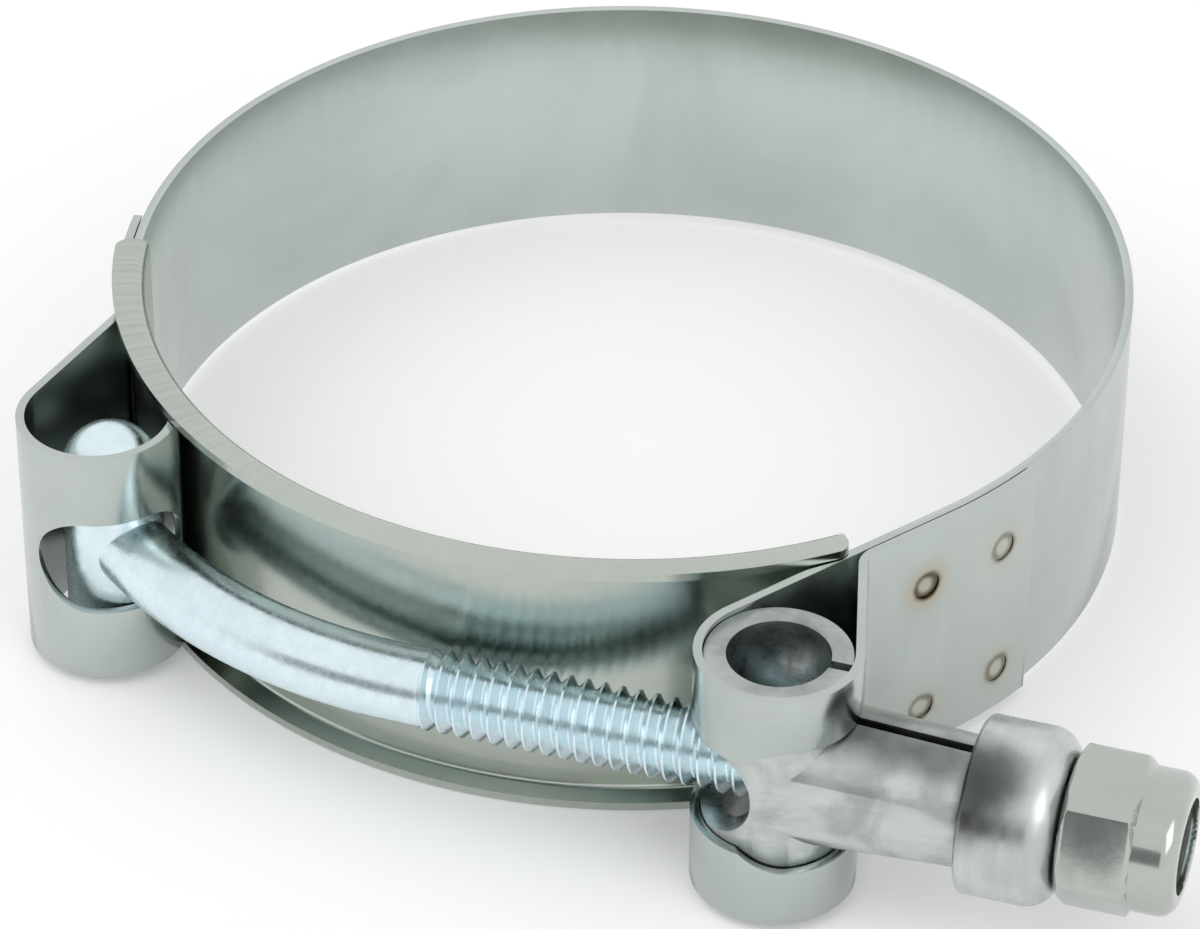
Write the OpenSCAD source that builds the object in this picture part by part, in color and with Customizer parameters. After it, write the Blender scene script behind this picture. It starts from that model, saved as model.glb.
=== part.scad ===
// T-bolt hose clamp: a looped strip ring, a channel liner, a bent T-bolt, a rolled trunnion and a lock nut.
// Millimetres. The ring axis is +Z through the origin, and the straight part of the bolt runs along +X.

/* [Hose] */
// Diameter of the hose that the clamp closes on
hose_d = 74; // [68:0.5:84]

/* [Band] */
// Width of the strip
band_w = 20; // [18:0.5:24]
// Thickness of the strip
band_t = 0.65; // [0.5:0.05:0.8]
// Angle at which the right end of the strip leaves the ring
right_leave = -35.5; // [-40:0.5:-33]
// Angle at which the left loop touches the ring
left_touch = 224; // [220:0.5:228]
// Distance along the strip from a loop to the place where its return wall lands
return_run = 12.4; // [9:0.1:15]
// Radius of the bend between a return wall and its tail, at mid-thickness
return_bend = 2; // [1.2:0.1:3]
// Length of the tail that lies on the ring after the right return wall
right_tail = 15.6; // [14:0.1:20]
// Length of the tail that lies on the ring after the left return wall
left_tail = 12.3; // [12:0.1:18]
// Air between a tail and the strip under it
weld_gap = 0.1; // [0.05:0.01:0.15]
// Diameter of a spot weld
weld_d = 2.2; // [1.4:0.1:3]
// Depth of the dimple that the welding tip leaves
weld_dimple = 0.1; // [0.05:0.01:0.2]
// Distance between the two rows of spot welds
weld_rows = 11.2; // [8:0.1:12]
// Distance between the two columns of spot welds, along the strip
weld_columns = 7.4; // [5:0.1:8]
// Distance from the end of a tail to the middle of the first column
weld_inset = 3.3; // [2:0.1:4]
// Distance by which the welds sit below the middle of the strip
weld_drop = 0.8; // [0:0.1:1.5]

/* [Loop slots] */
// Height of the slot in the left loop
left_slot_h = 8.1; // [6.6:0.1:9]
// Angle by which the left slot reaches past the bolt towards the front
left_slot_reach = 42; // [20:1:50]
// Height of the wide part of the right slot
right_slot_h = 10.9; // [10.7:0.1:12]
// Angle by which the wide part of the right slot reaches past the sleeve towards the front
right_slot_reach = 62; // [40:1:80]
// Height of the right slot where the bolt goes in
entry_slot_h = 8.2; // [7.6:0.1:9.6]

/* [Bridge] */
// Thickness of the liner sheet
bridge_t = 0.65; // [0.5:0.05:0.8]
// Air between the liner and the ring around it
nest_gap = 0.06; // [0.03:0.01:0.1]
// Air between a liner flange and the edge of the ring
edge_gap = 0.12; // [0.05:0.01:0.2]
// Width of a flange, from the inner face of the liner
flange_w = 2.5; // [2.4:0.1:4]
// Radius inside the bend from liner to flange
flange_bend = 0.3; // [0.2:0.05:0.4]
// Radius of the flange corners
flange_corner = 1.2; // [0.6:0.1:1.5]
// Angle at which the flanges start on the left
flange_from = 194; // [190:0.5:200]
// Angle at which the flanges end on the right
flange_to = 311.5; // [306:0.5:314]
// Width of the tongue past the right end of the flanges
tongue_w = 16; // [12:0.5:19]
// Angle at which the tongue ends
tongue_to = 327; // [322:0.5:332]
// Radius of the tongue's corners
tongue_corner = 4; // [2:0.1:6]

/* [T-bolt] */
// Outer diameter of the thread
thread_d = 6; // [5.6:0.1:6.2]
// Pitch of the thread
thread_pitch = 1.3; // [1:0.05:1.5]
// Depth of the thread
thread_depth = 0.62; // [0.4:0.02:0.8]
// Width of the flat on a thread crest, and of the one in a root
thread_flat = 0.16; // [0.1:0.02:0.3]
// Diameter of the plain shank
shank_d = 5.7; // [5.2:0.1:6]
// Diameter of the cross head
head_d = 7.5; // [6.8:0.1:8]
// Length of the cross head
head_l = 19; // [17:0.1:19.6]
// Height of the dome on each end of the cross head
head_dome = 3; // [1:0.1:3.4]
// Angle at which the shank leaves the cross head, away from the straight part
shank_angle = 36; // [32:0.5:40]
// Length of the straight neck next to the cross head
neck_l = 5; // [4:0.1:6]
// Air between the thread and the liner
bolt_clear = 0.8; // [0.6:0.05:1.6]
// Air between the cross head and the loop that it pulls on
head_seat = 0.06; // [0.02:0.01:0.15]
// Length of the plain straight part between the bend and the thread
plain_l = 2; // [0.6:0.1:4]
// Step of the neck and of the plain part above the bent shank
shank_step = 0.05; // [0.03:0.01:0.1]
// Chamfer at the end of the thread
thread_chamfer = 0.8; // [0.4:0.1:1.2]

/* [Trunnion] */
// Outer diameter of the upright tube
tube_d = 10.5; // [10:0.05:10.8]
// Wall of the rolled sheet
tube_wall = 1.55; // [1.2:0.05:1.6]
// Distance by which the tube stops short of each edge of the strip
tube_short = 0.4; // [0.2:0.1:1]
// Distance by which the swollen root of the sleeve reaches past the tube axis
root_l = 1.6; // [1:0.1:2.2]
// Height by which the root of the sleeve stands out from the tube
root_rise = 0.2; // [0.1:0.05:0.3]
// Depth of the start of the root below the face of the tube
root_depth = 0.05; // [0.03:0.01:0.3]
// Outer diameter of the tapered sleeve at its free end
sleeve_d = 9.4; // [9:0.05:9.8]
// Wall of the sleeve
sleeve_wall = 1.1; // [0.9:0.05:1.15]
// Length of the sleeve from the tube axis
sleeve_l = 14.3; // [12:0.1:16]
// Diameter of the cross hole where the bolt goes in
entry_d = 7.4; // [7.1:0.1:8]
// Distance from the tube axis to the rim of that hole
entry_stop = 0.3; // [0.1:0.1:1]
// Width of the seam where the two folded halves meet
seam_w = 0.8; // [0.2:0.05:1]
// Air between the tube and the loop around it
loop_clear = 0.1; // [0.08:0.02:0.4]

/* [Collar] */
// Outer diameter of the collar
collar_d = 12.8; // [11.8:0.1:14]
// Length of the collar
collar_l = 6.8; // [5:0.1:8]
// Air between the collar bore and the thread
collar_play = 0.2; // [0.1:0.05:0.4]
// Radius of the rounded shoulder on the nut side
collar_shoulder = 2.2; // [1:0.1:2.6]
// Chamfer on the sleeve side
collar_edge = 0.3; // [0.1:0.05:0.6]
// Air between the sleeve and the collar
collar_gap = 0.15; // [0.1:0.05:0.4]

/* [Lock nut] */
// Distance across the flats of the nut
nut_af = 10.6; // [10:0.1:12]
// Turn of the nut on the bolt, with a corner on top at 0
nut_turned = 40; // [0:5:60]
// Length of the hexagon
hex_l = 5.4; // [4.5:0.1:7]
// Length of the round part that holds the insert
crown_l = 3; // [2.4:0.1:4]
// Angle of the hexagon's corner chamfers
corner_angle = 30; // [20:1:40]
// Distance from the flats of the nut to the edge of its end faces
face_inset = 0.3; // [0.1:0.05:0.6]
// Distance from the flats of the nut to its round part
crown_inset = 0.15; // [0.05:0.05:0.6]
// Air between the nut bore and the thread
nut_play = 0.1; // [0.05:0.01:0.15]
// Wall of the round part around the insert
crown_wall = 1.1; // [0.8:0.05:1.15]
// Width of the lip that holds the insert in
crown_lip = 0.6; // [0.3:0.1:0.8]
// Radius of the rounded edge of the round part
crown_round = 1.2; // [0.6:0.1:1.6]
// Air between the nut and the collar
nut_gap = 0.05; // [0.03:0.01:0.1]
// Distance by which the bolt end lies inside the nut
bolt_inset = 1; // [0.5:0.1:1.5]

/* [Nylon insert] */
// Length of the insert
insert_l = 1.9; // [1.6:0.1:2]
// Air between the insert and the thread
insert_play = 0.06; // [0.04:0.01:0.1]

/* [Hidden] */
$fn = 64;
// Allowance by which cutting shapes overrun
over = 1;
// Radius of the hose
hose_r = hose_d / 2;
// Outer radius of the liner
liner_r = hose_r + bridge_t;
// Radius of the ring at mid-thickness
ring_r = liner_r + nest_gap + band_t / 2;
// Radius of a loop at mid-thickness
loop_r = tube_d / 2 + loop_clear + band_t / 2;
// Radius of a tail at mid-thickness
tail_r = ring_r + band_t + weld_gap;
// Place of the left loop
left_loop = (ring_r + loop_r) * [cos(left_touch), sin(left_touch)];
// Place of the bolt axis across the clamp
bolt_y = -(liner_r + bolt_clear + thread_d / 2);
// Straight run of the strip from the ring to the right loop
right_run = (-bolt_y + (ring_r + loop_r) * sin(right_leave)) / cos(right_leave);
// Place of the right loop along the bolt
right_x = (ring_r + loop_r) * cos(right_leave) + right_run * sin(right_leave);
// Place of the cross head in the left loop
head_shift = loop_r - band_t / 2 - head_d / 2 - head_seat;
head_at = left_loop + head_shift * [cos(shank_angle), -sin(shank_angle)];
// Radius of the bend in the shank
bend_r = (head_at[1] - bolt_y - neck_l * sin(shank_angle)) / (1 - cos(shank_angle));
// Place where the bend ends and the bolt turns straight
bend_x = head_at[0] + neck_l * cos(shank_angle) + bend_r * sin(shank_angle);
// Places along the bolt
collar_x = right_x + sleeve_l + collar_gap;
nut_x = collar_x + collar_l + nut_gap;
nut_end = nut_x + hex_l + crown_l;
thread_x = bend_x + plain_l;
bolt_end = nut_end - bolt_inset;
// Distances by which the lengths of the bolt overlap, and the domes of its head their straight part
shank_lap = 0.3;
dome_lap = 0.01;
// Distance by which the straight pieces of the strip overlap its curves, and their step above them
strip_lap = 0.1;
strip_step = 0.005;
// Distance by which the middle of a slot stays inside its round ends
slot_step = 0.02;
// Number of thread ridges
ridges = floor((bolt_end - thread_x - thread_chamfer) / thread_pitch);
// Diameter across the corners of the nut
corner_d = nut_af / cos(30);
// Diameter of the round part of the nut, and how far it reaches into the hexagon
crown_d = nut_af - 2 * crown_inset;
crown_lap = 0.4;
// Outer diameter of the insert and of its seat
insert_d = crown_d - 2 * crown_wall;
// Half height of the liner with its flanges
bridge_h = band_w / 2 + edge_gap + bridge_t;
// Radius outside the bend from liner to flange
flange_round = flange_bend + bridge_t;
// Angle by which the tongue of the liner overlaps its flanged part
tongue_lap = 1;
// Largest angle between two corners of a wedge
wedge_step = 40;

// A flat wedge around the origin, from one angle to another
module wedge(reach, from, to) {
    steps = ceil((to - from) / wedge_step);
    polygon(concat([[0, 0]], [for (i = [0 : steps])
        reach * [cos(from + (to - from) * i / steps), sin(from + (to - from) * i / steps)]]));
}

// A curved piece of the strip seen from above, from one angle to another
module strip_arc(r, from, to) {
    intersection() {
        difference() {
            circle(r = r + band_t / 2);
            circle(r = r - band_t / 2);
        }
        wedge((r + band_t) / cos(wedge_step / 2), from, to);
    }
}

// A straight piece of the strip seen from above, from a point in a direction, overlapping the curves
module strip_run(at, direction, length) {
    translate(at)
        rotate(direction)
            translate([-strip_lap, -band_t / 2 - strip_step])
                square([length + 2 * strip_lap, band_t + 2 * strip_step]);
}

// One end of the strip seen from above, for a strip that leaves the ring at angle 0
module strip_end(run, tail) {
    loop_at = [ring_r + loop_r, -run];
    on_ring = run < return_run ? (return_run - run) / tail_r * 180 / PI : 0;
    on_run = run < return_run ? 0 : return_run - run;
    bend_at = (tail_r + return_bend) * [cos(on_ring), sin(on_ring)] + [0, on_run];
    span = bend_at - loop_at;
    leave = atan2(span[1], span[0]) - acos((loop_r + return_bend) / norm(span));
    wall = sqrt(norm(span) * norm(span) - pow(loop_r + return_bend, 2));
    wall_at = loop_at + loop_r * [cos(leave), sin(leave)];
    tail_arc = (tail + on_run) / tail_r * 180 / PI;
    strip_run([ring_r, -run], 90, run);
    translate(loop_at)
        strip_arc(loop_r, 180, 360 + leave);
    strip_run(wall_at, leave + 90, wall);
    translate(bend_at)
        strip_arc(return_bend, 180 + on_ring, 180 + leave);
    strip_run(tail_r * [cos(on_ring), sin(on_ring)] + [0, on_run], 90 + on_ring, -on_run);
    strip_arc(tail_r, on_ring, on_ring + tail_arc);
}

// Angle on the ring, from the place where the strip leaves it, at which a tail ends
function tail_end(run, tail) = (return_run - run + tail) / tail_r * 180 / PI;

// The four spot welds of one tail as pegs between two radii, from the end of the tail in a turning direction
module weld_pegs(end_angle, turn, r0, r1) {
    for (column = [0, 1])
        for (side = [-1, 1])
            rotate([0, 0, end_angle + turn * (weld_inset + column * weld_columns) / tail_r * 180 / PI])
                translate([r0, 0, side * weld_rows / 2 - weld_drop])
                    rotate([0, 90, 0])
                        cylinder(h = r1 - r0, d = weld_d);
}

// The round end of a slot around an upright axis
module slot_end(h, at) {
    rotate([0, 0, at])
        rotate([0, 90, 0])
            cylinder(h = loop_r + over, d = h);
}

// The middle of a slot around an upright axis, from one angle to another
module slot_middle(h, from, to) {
    rotate([0, 0, from])
        rotate_extrude(angle = to - from)
            translate([loop_r - over, -h / 2 + slot_step])
                square([2 * over, h - 2 * slot_step]);
}

// The looped strip
module band() {
    peg_r = ring_r + band_t / 4;
    dimple_r = tail_r + band_t / 2 - weld_dimple;
    right_end = right_leave + tail_end(right_run, right_tail);
    left_end = left_touch - tail_end(0, left_tail);
    color("silver")
        difference() {
            union() {
                linear_extrude(band_w, center = true) {
                    strip_arc(ring_r, right_leave, left_touch);
                    rotate(right_leave)
                        strip_end(right_run, right_tail);
                    rotate(left_touch)
                        mirror([0, 1])
                            strip_end(0, left_tail);
                }
                weld_pegs(right_end, -1, peg_r, tail_r);
                weld_pegs(left_end, 1, peg_r, tail_r);
            }
            weld_pegs(right_end, -1, dimple_r, tail_r + band_t / 2 + over);
            weld_pegs(left_end, 1, dimple_r, tail_r + band_t / 2 + over);
            translate([left_loop[0], left_loop[1], 0])
                slot_end(left_slot_h, -shank_angle - left_slot_reach);
            translate([left_loop[0], left_loop[1], 0])
                slot_end(left_slot_h, -shank_angle);
            translate([left_loop[0], left_loop[1], 0])
                slot_middle(left_slot_h, -shank_angle - left_slot_reach, -shank_angle);
            translate([right_x, bolt_y, 0])
                slot_end(right_slot_h, -right_slot_reach);
            translate([right_x, bolt_y, 0])
                slot_end(right_slot_h, 0);
            translate([right_x, bolt_y, 0])
                slot_middle(right_slot_h, -right_slot_reach, 0);
            translate([right_x, bolt_y, 0])
                slot_end(entry_slot_h, -180);
            translate([right_x, bolt_y, 0])
                slot_middle(entry_slot_h, -180, -right_slot_reach);
        }
}

// Section of the liner with its two flanges
module bridge_section() {
    translate([hose_r, -bridge_h + flange_round])
        square([bridge_t, 2 * (bridge_h - flange_round)]);
    for (side = [0, 1])
        mirror([0, side]) {
            translate([hose_r + flange_round, bridge_h - bridge_t])
                square([flange_w - flange_round, bridge_t]);
            translate([hose_r + flange_round, bridge_h - flange_round])
                intersection() {
                    difference() {
                        circle(r = flange_round);
                        circle(r = flange_bend);
                    }
                    translate([-2 * flange_round, 0])
                        square(2 * flange_round);
                }
        }
}

// The tongue of the liner past the right end of the flanges
module tongue() {
    rotate([0, 0, flange_to - tongue_lap])
        rotate_extrude(angle = tongue_to - flange_to + tongue_lap)
            translate([hose_r + strip_step, -tongue_w / 2])
                square([bridge_t - 2 * strip_step, tongue_w]);
}

// Waste outside a flange corner, for a flange that ends at angle 0 and lies towards positive angles
module flange_waste() {
    translate([hose_r + flange_w - flange_corner, 0, -bridge_h - over])
        linear_extrude(2 * (bridge_h + over))
            difference() {
                translate([0, -over])
                    square([flange_corner + over, flange_corner + over]);
                translate([0, flange_corner])
                    circle(r = flange_corner);
            }
}

// Waste outside the tongue's corners, for a tongue that ends at angle 0 and lies towards negative angles
module tongue_waste() {
    for (side = [0, 1])
        mirror([0, 0, side])
            translate([hose_r - over, 0, tongue_w / 2])
                rotate([90, 0, 90])
                    linear_extrude(bridge_t + 2 * over)
                        difference() {
                            translate([-tongue_corner, -tongue_corner])
                                square(tongue_corner + over);
                            translate([-tongue_corner, -tongue_corner])
                                circle(r = tongue_corner);
                        }
}

// The liner that closes the ring between the loops
module bridge() {
    color("gainsboro")
        difference() {
            union() {
                tongue();
                rotate([0, 0, flange_from])
                    rotate_extrude(angle = flange_to - flange_from)
                        bridge_section();
            }
            rotate([0, 0, flange_from])
                flange_waste();
            rotate([0, 0, flange_to])
                mirror([0, 1, 0])
                    flange_waste();
            rotate([0, 0, tongue_to])
                tongue_waste();
        }
}

// Half section of the cross head
module head_section() {
    straight = head_l / 2 - head_dome;
    dome_r = (pow(head_d / 2, 2) + head_dome * head_dome) / (2 * head_dome);
    translate([0, -straight])
        square([head_d / 2, 2 * straight]);
    for (side = [0, 1])
        mirror([0, side])
            intersection() {
                translate([0, head_l / 2 - dome_r])
                    circle(r = dome_r);
                translate([0, straight - dome_lap])
                    square([head_d / 2, head_dome + over]);
            }
}

// Half section of the thread, ridge by ridge, with a chamfered end
module thread_section() {
    crest = thread_d / 2;
    root = crest - thread_depth;
    length = bolt_end - thread_x;
    flanks = [for (i = [0 : ridges - 1])
        for (p = [[root, 0, 1], [crest, 0.5, -1], [crest, 0.5, 1], [root, 1, -1]])
            [p[0], (i + p[1]) * thread_pitch + p[2] * thread_flat / 2]];
    polygon(concat(
        [[0, -shank_lap], [root, -shank_lap]],
        flanks,
        [[root, ridges * thread_pitch], [root, length - thread_chamfer]],
        [[root - thread_chamfer / 2, length], [0, length]]));
}

// The bent bolt with its cross head
module t_bolt() {
    color("lightsteelblue") {
        translate([head_at[0], head_at[1], 0]) {
            rotate_extrude()
                head_section();
            rotate([0, 0, -shank_angle])
                rotate([0, 90, 0])
                    cylinder(h = neck_l + shank_lap, d = shank_d + 2 * shank_step);
        }
        translate([bend_x, bolt_y + bend_r, 0])
            rotate([0, 0, -90 - shank_angle])
                rotate_extrude(angle = shank_angle)
                    translate([bend_r, 0])
                        circle(d = shank_d);
        translate([bend_x - shank_lap, bolt_y, 0])
            rotate([0, 90, 0])
                cylinder(h = plain_l + shank_lap, d = shank_d + 2 * shank_step);
        translate([thread_x, bolt_y, 0])
            rotate([0, 90, 0])
                rotate_extrude()
                    thread_section();
    }
}

// Half section of the filled sleeve, from its swollen root in the tube to its free end
module sleeve_section() {
    start_r = sqrt(pow(tube_d / 2, 2) - pow(root_l, 2)) - root_depth;
    root_r = tube_d / 2 + root_rise;
    polygon([[0, -root_l], [start_r, -root_l], [root_r, 0], [sleeve_d / 2, sleeve_l], [0, sleeve_l]]);
}

// The rolled trunnion: an upright split tube whose two halves run on as a split sleeve
module trunnion() {
    tube_h = band_w - 2 * tube_short;
    color("darkgray")
        translate([right_x, bolt_y, 0])
            difference() {
                union() {
                    cylinder(h = tube_h, d = tube_d, center = true);
                    rotate([0, 90, 0])
                        rotate_extrude()
                            sleeve_section();
                }
                cylinder(h = tube_h + 2 * over, d = tube_d - 2 * tube_wall, center = true);
                rotate([0, 90, 0])
                    cylinder(h = sleeve_l + over, d = sleeve_d - 2 * sleeve_wall);
                translate([-entry_stop - entry_d / 2, 0, 0])
                    rotate([90, 0, 0])
                        cylinder(h = tube_d + 2 * over, d = entry_d, center = true);
                translate([0, -seam_w / 2, -tube_h / 2 - over])
                    cube([sleeve_l + over, seam_w, tube_h + 2 * over]);
            }
}

// The collar between sleeve and nut
module collar() {
    bore = thread_d / 2 + collar_play;
    rim = collar_d / 2;
    color("silver")
        translate([collar_x, bolt_y, 0])
            rotate([0, 90, 0])
                rotate_extrude() {
                    polygon([[bore, 0], [rim - collar_edge, 0], [rim, collar_edge],
                        [rim, collar_l - collar_shoulder], [rim - collar_shoulder, collar_l],
                        [bore, collar_l]]);
                    intersection() {
                        translate([rim - collar_shoulder, collar_l - collar_shoulder])
                            circle(r = collar_shoulder);
                        translate([rim - collar_shoulder, collar_l - collar_shoulder])
                            square([collar_shoulder, collar_shoulder]);
                    }
                }
}

// Half section that trims the corners of the hexagon
module hex_trim() {
    corner = corner_d / 2;
    face = nut_af / 2 - face_inset;
    drop = (corner - face) * tan(corner_angle);
    polygon([[0, 0], [face, 0], [corner, drop], [corner, hex_l - drop], [face, hex_l], [0, hex_l]]);
}

// Half section of the round part of the nut
module crown_section() {
    rim = crown_d / 2;
    top = hex_l + crown_l;
    translate([0, hex_l - crown_lap])
        square([rim, crown_l + crown_lap - crown_round]);
    translate([0, hex_l])
        square([rim - crown_round, crown_l]);
    intersection() {
        translate([rim - crown_round, top - crown_round])
            circle(r = crown_round);
        translate([rim - crown_round, top - crown_round])
            square([crown_round, crown_round]);
    }
}

// The lock nut
module lock_nut() {
    top = hex_l + crown_l;
    color("whitesmoke")
        translate([nut_x, bolt_y, 0])
            rotate([0, 90, 0])
                difference() {
                    union() {
                        intersection() {
                            rotate(nut_turned)
                                cylinder(h = hex_l, d = corner_d, $fn = 6);
                            rotate_extrude()
                                hex_trim();
                        }
                        rotate_extrude()
                            crown_section();
                    }
                    translate([0, 0, -over])
                        cylinder(h = top + 2 * over, d = thread_d + 2 * nut_play);
                    translate([0, 0, top - crown_lip - insert_l])
                        cylinder(h = insert_l, d = insert_d);
                    translate([0, 0, top - crown_lip - over])
                        cylinder(h = crown_lip + 2 * over, d = insert_d - 2 * crown_lip);
                }
}

// The ring in the nut that grips the thread
module nylon_insert() {
    color("dimgray")
        translate([nut_end - crown_lip - insert_l, bolt_y, 0])
            rotate([0, 90, 0])
                difference() {
                    cylinder(h = insert_l, d = insert_d);
                    translate([0, 0, -over])
                        cylinder(h = insert_l + 2 * over, d = thread_d + 2 * insert_play);
                }
}

band();
bridge();
t_bolt();
trunnion();
collar();
lock_nut();
nylon_insert();
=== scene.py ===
"""Looks of a T-bolt hose clamp: sheet pieces, bolt, trunnion and nut, shaped here and dressed in metal."""

import logging
import math
from contextlib import contextmanager
from dataclasses import dataclass, field
from enum import Enum
from typing import Callable, Iterator, Sequence

import bpy
from mathutils import Matrix, Quaternion, Vector


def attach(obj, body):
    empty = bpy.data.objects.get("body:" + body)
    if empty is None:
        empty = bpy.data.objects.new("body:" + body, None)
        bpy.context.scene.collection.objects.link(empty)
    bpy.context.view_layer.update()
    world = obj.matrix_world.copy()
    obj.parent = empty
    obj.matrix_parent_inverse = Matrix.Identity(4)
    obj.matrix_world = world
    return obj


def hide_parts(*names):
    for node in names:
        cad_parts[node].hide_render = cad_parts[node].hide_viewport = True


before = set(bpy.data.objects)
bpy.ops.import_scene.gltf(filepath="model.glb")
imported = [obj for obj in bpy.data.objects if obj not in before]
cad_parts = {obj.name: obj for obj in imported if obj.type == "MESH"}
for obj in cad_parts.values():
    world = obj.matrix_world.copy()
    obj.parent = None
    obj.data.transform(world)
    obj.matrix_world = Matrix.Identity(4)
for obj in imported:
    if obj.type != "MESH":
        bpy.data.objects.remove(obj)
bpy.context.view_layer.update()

LOG = logging.getLogger("clamp")
MM = 0.001
# How far a cutting tool reaches past what it cuts, in millimetres
OVER = 1.0
# How near, in metres, places count as one, doubles are merged and a cut takes a vertex for its own
SAME_PLACE, MERGE, CUT = 1e-5, 1e-6, 1e-7
HUB = Vector((0, 0, 0))
X_AXIS, Y_AXIS, Z_AXIS = Vector((1, 0, 0)), Vector((0, 1, 0)), Vector((0, 0, 1))
WHITE = (1, 1, 1, 1)
Socket = bpy.types.NodeSocket


def mm(x: float, y: float, z: float = 0.0) -> Vector:
    """Turns a place in millimetres into one in metres."""
    return Vector((x, y, z)) * MM


def polar(radius: float, degrees: float) -> Vector:
    """Gives a flat place at a radius and an angle, in the unit of the radius."""
    angle = math.radians(degrees)
    return Vector((radius * math.cos(angle), radius * math.sin(angle), 0.0))


@dataclass(frozen=True)
class ClampPlan:
    """Driving sizes of the clamp in millimetres and degrees, and the places that follow from them."""

    hose_d: float = 74.0
    band_w: float = 20.0
    band_t: float = 0.65
    right_leave: float = -35.5
    left_touch: float = 224.0
    return_run: float = 12.4
    return_bend: float = 2.0
    right_tail: float = 15.6
    left_tail: float = 12.3
    weld_gap: float = 0.1
    weld_d: float = 2.2
    weld_dimple: float = 0.1
    weld_rows: float = 11.2
    weld_columns: float = 7.4
    weld_inset: float = 3.3
    weld_drop: float = 0.8
    left_slot_h: float = 8.1
    left_slot_reach: float = 42.0
    right_slot_h: float = 10.9
    right_slot_reach: float = 62.0
    entry_slot_h: float = 8.2
    bridge_t: float = 0.65
    nest_gap: float = 0.06
    edge_gap: float = 0.12
    flange_w: float = 2.5
    flange_bend: float = 0.3
    flange_corner: float = 1.2
    flange_from: float = 194.0
    flange_to: float = 311.5
    tongue_w: float = 16.0
    tongue_to: float = 327.0
    tongue_corner: float = 4.0
    thread_d: float = 6.0
    thread_pitch: float = 1.3
    thread_depth: float = 0.62
    thread_flat: float = 0.16
    thread_chamfer: float = 0.8
    shank_d: float = 5.7
    head_d: float = 7.5
    head_l: float = 19.0
    head_dome: float = 3.0
    shank_angle: float = 36.0
    neck_l: float = 5.0
    bolt_clear: float = 0.8
    head_seat: float = 0.06
    plain_l: float = 2.0
    tube_d: float = 10.5
    tube_wall: float = 1.55
    tube_short: float = 0.4
    root_l: float = 1.6
    root_rise: float = 0.2
    root_depth: float = 0.05
    sleeve_d: float = 9.4
    sleeve_wall: float = 1.1
    sleeve_l: float = 14.3
    entry_d: float = 7.4
    entry_stop: float = 0.3
    seam_w: float = 0.8
    loop_clear: float = 0.1
    collar_d: float = 12.8
    collar_l: float = 6.8
    collar_play: float = 0.2
    collar_shoulder: float = 2.2
    collar_edge: float = 0.3
    collar_gap: float = 0.15
    nut_af: float = 10.6
    nut_turned: float = 40.0
    hex_l: float = 5.4
    crown_l: float = 3.0
    nut_play: float = 0.1
    corner_angle: float = 30.0
    face_inset: float = 0.3
    crown_inset: float = 0.15
    crown_wall: float = 1.1
    crown_lip: float = 0.6
    crown_round: float = 1.2
    nut_gap: float = 0.05
    bolt_inset: float = 1.0
    insert_l: float = 1.9
    insert_play: float = 0.06

    @property
    def hose_r(self) -> float:
        """Radius of the hose."""
        return self.hose_d / 2

    @property
    def liner_r(self) -> float:
        """Outer radius of the bridge's web."""
        return self.hose_r + self.bridge_t

    @property
    def ring_r(self) -> float:
        """Radius of the ring at mid-thickness."""
        return self.liner_r + self.nest_gap + self.band_t / 2

    @property
    def loop_r(self) -> float:
        """Radius of a loop at mid-thickness."""
        return self.tube_d / 2 + self.loop_clear + self.band_t / 2

    @property
    def tail_r(self) -> float:
        """Radius of a tail at mid-thickness."""
        return self.ring_r + self.band_t + self.weld_gap

    @property
    def left_loop(self) -> Vector:
        """Place of the left loop's axis."""
        return polar(self.ring_r + self.loop_r, self.left_touch)

    @property
    def bolt_y(self) -> float:
        """Place of the straight bolt axis across the clamp."""
        return -(self.liner_r + self.bolt_clear + self.thread_d / 2)

    @property
    def right_run(self) -> float:
        """Straight length of the strip between the ring and the right loop."""
        leave = math.radians(self.right_leave)
        return (-self.bolt_y + (self.ring_r + self.loop_r) * math.sin(leave)) / math.cos(leave)

    @property
    def right_loop(self) -> Vector:
        """Works out the right loop's axis, which is the trunnion's.

        Returns:
            Its place in millimetres.
        """
        leave = math.radians(self.right_leave)
        x = (self.ring_r + self.loop_r) * math.cos(leave) + self.right_run * math.sin(leave)
        return Vector((x, self.bolt_y, 0.0))

    @property
    def head_at(self) -> Vector:
        """Place of the bolt's cross head in the left loop."""
        shift = self.loop_r - self.band_t / 2 - self.head_d / 2 - self.head_seat
        return self.left_loop + polar(shift, -self.shank_angle)

    @property
    def bend_r(self) -> float:
        """Works out the bend in the bolt's shank.

        Returns:
            Its radius in millimetres.
        """
        angle = math.radians(self.shank_angle)
        drop = self.head_at.y - self.bolt_y - self.neck_l * math.sin(angle)
        return drop / (1 - math.cos(angle))

    @property
    def bend_x(self) -> float:
        """Place along the bolt where the bend ends."""
        angle = math.radians(self.shank_angle)
        return self.head_at.x + self.neck_l * math.cos(angle) + self.bend_r * math.sin(angle)

    @property
    def thread_x(self) -> float:
        """Place along the bolt where the thread starts."""
        return self.bend_x + self.plain_l

    @property
    def collar_x(self) -> float:
        """Place along the bolt where the collar starts."""
        return self.right_loop.x + self.sleeve_l + self.collar_gap

    @property
    def nut_x(self) -> float:
        """Place along the bolt where the nut starts."""
        return self.collar_x + self.collar_l + self.nut_gap

    @property
    def nut_at(self) -> Vector:
        """Place of the nut's first face on the bolt's axis."""
        return Vector((self.nut_x, self.bolt_y, 0.0))

    @property
    def nut_l(self) -> float:
        """Length of the nut."""
        return self.hex_l + self.crown_l

    @property
    def insert_at(self) -> Vector:
        """Place of the insert's first face on the bolt's axis."""
        return self.nut_at + X_AXIS * (self.nut_l - self.crown_lip - self.insert_l)

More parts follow.
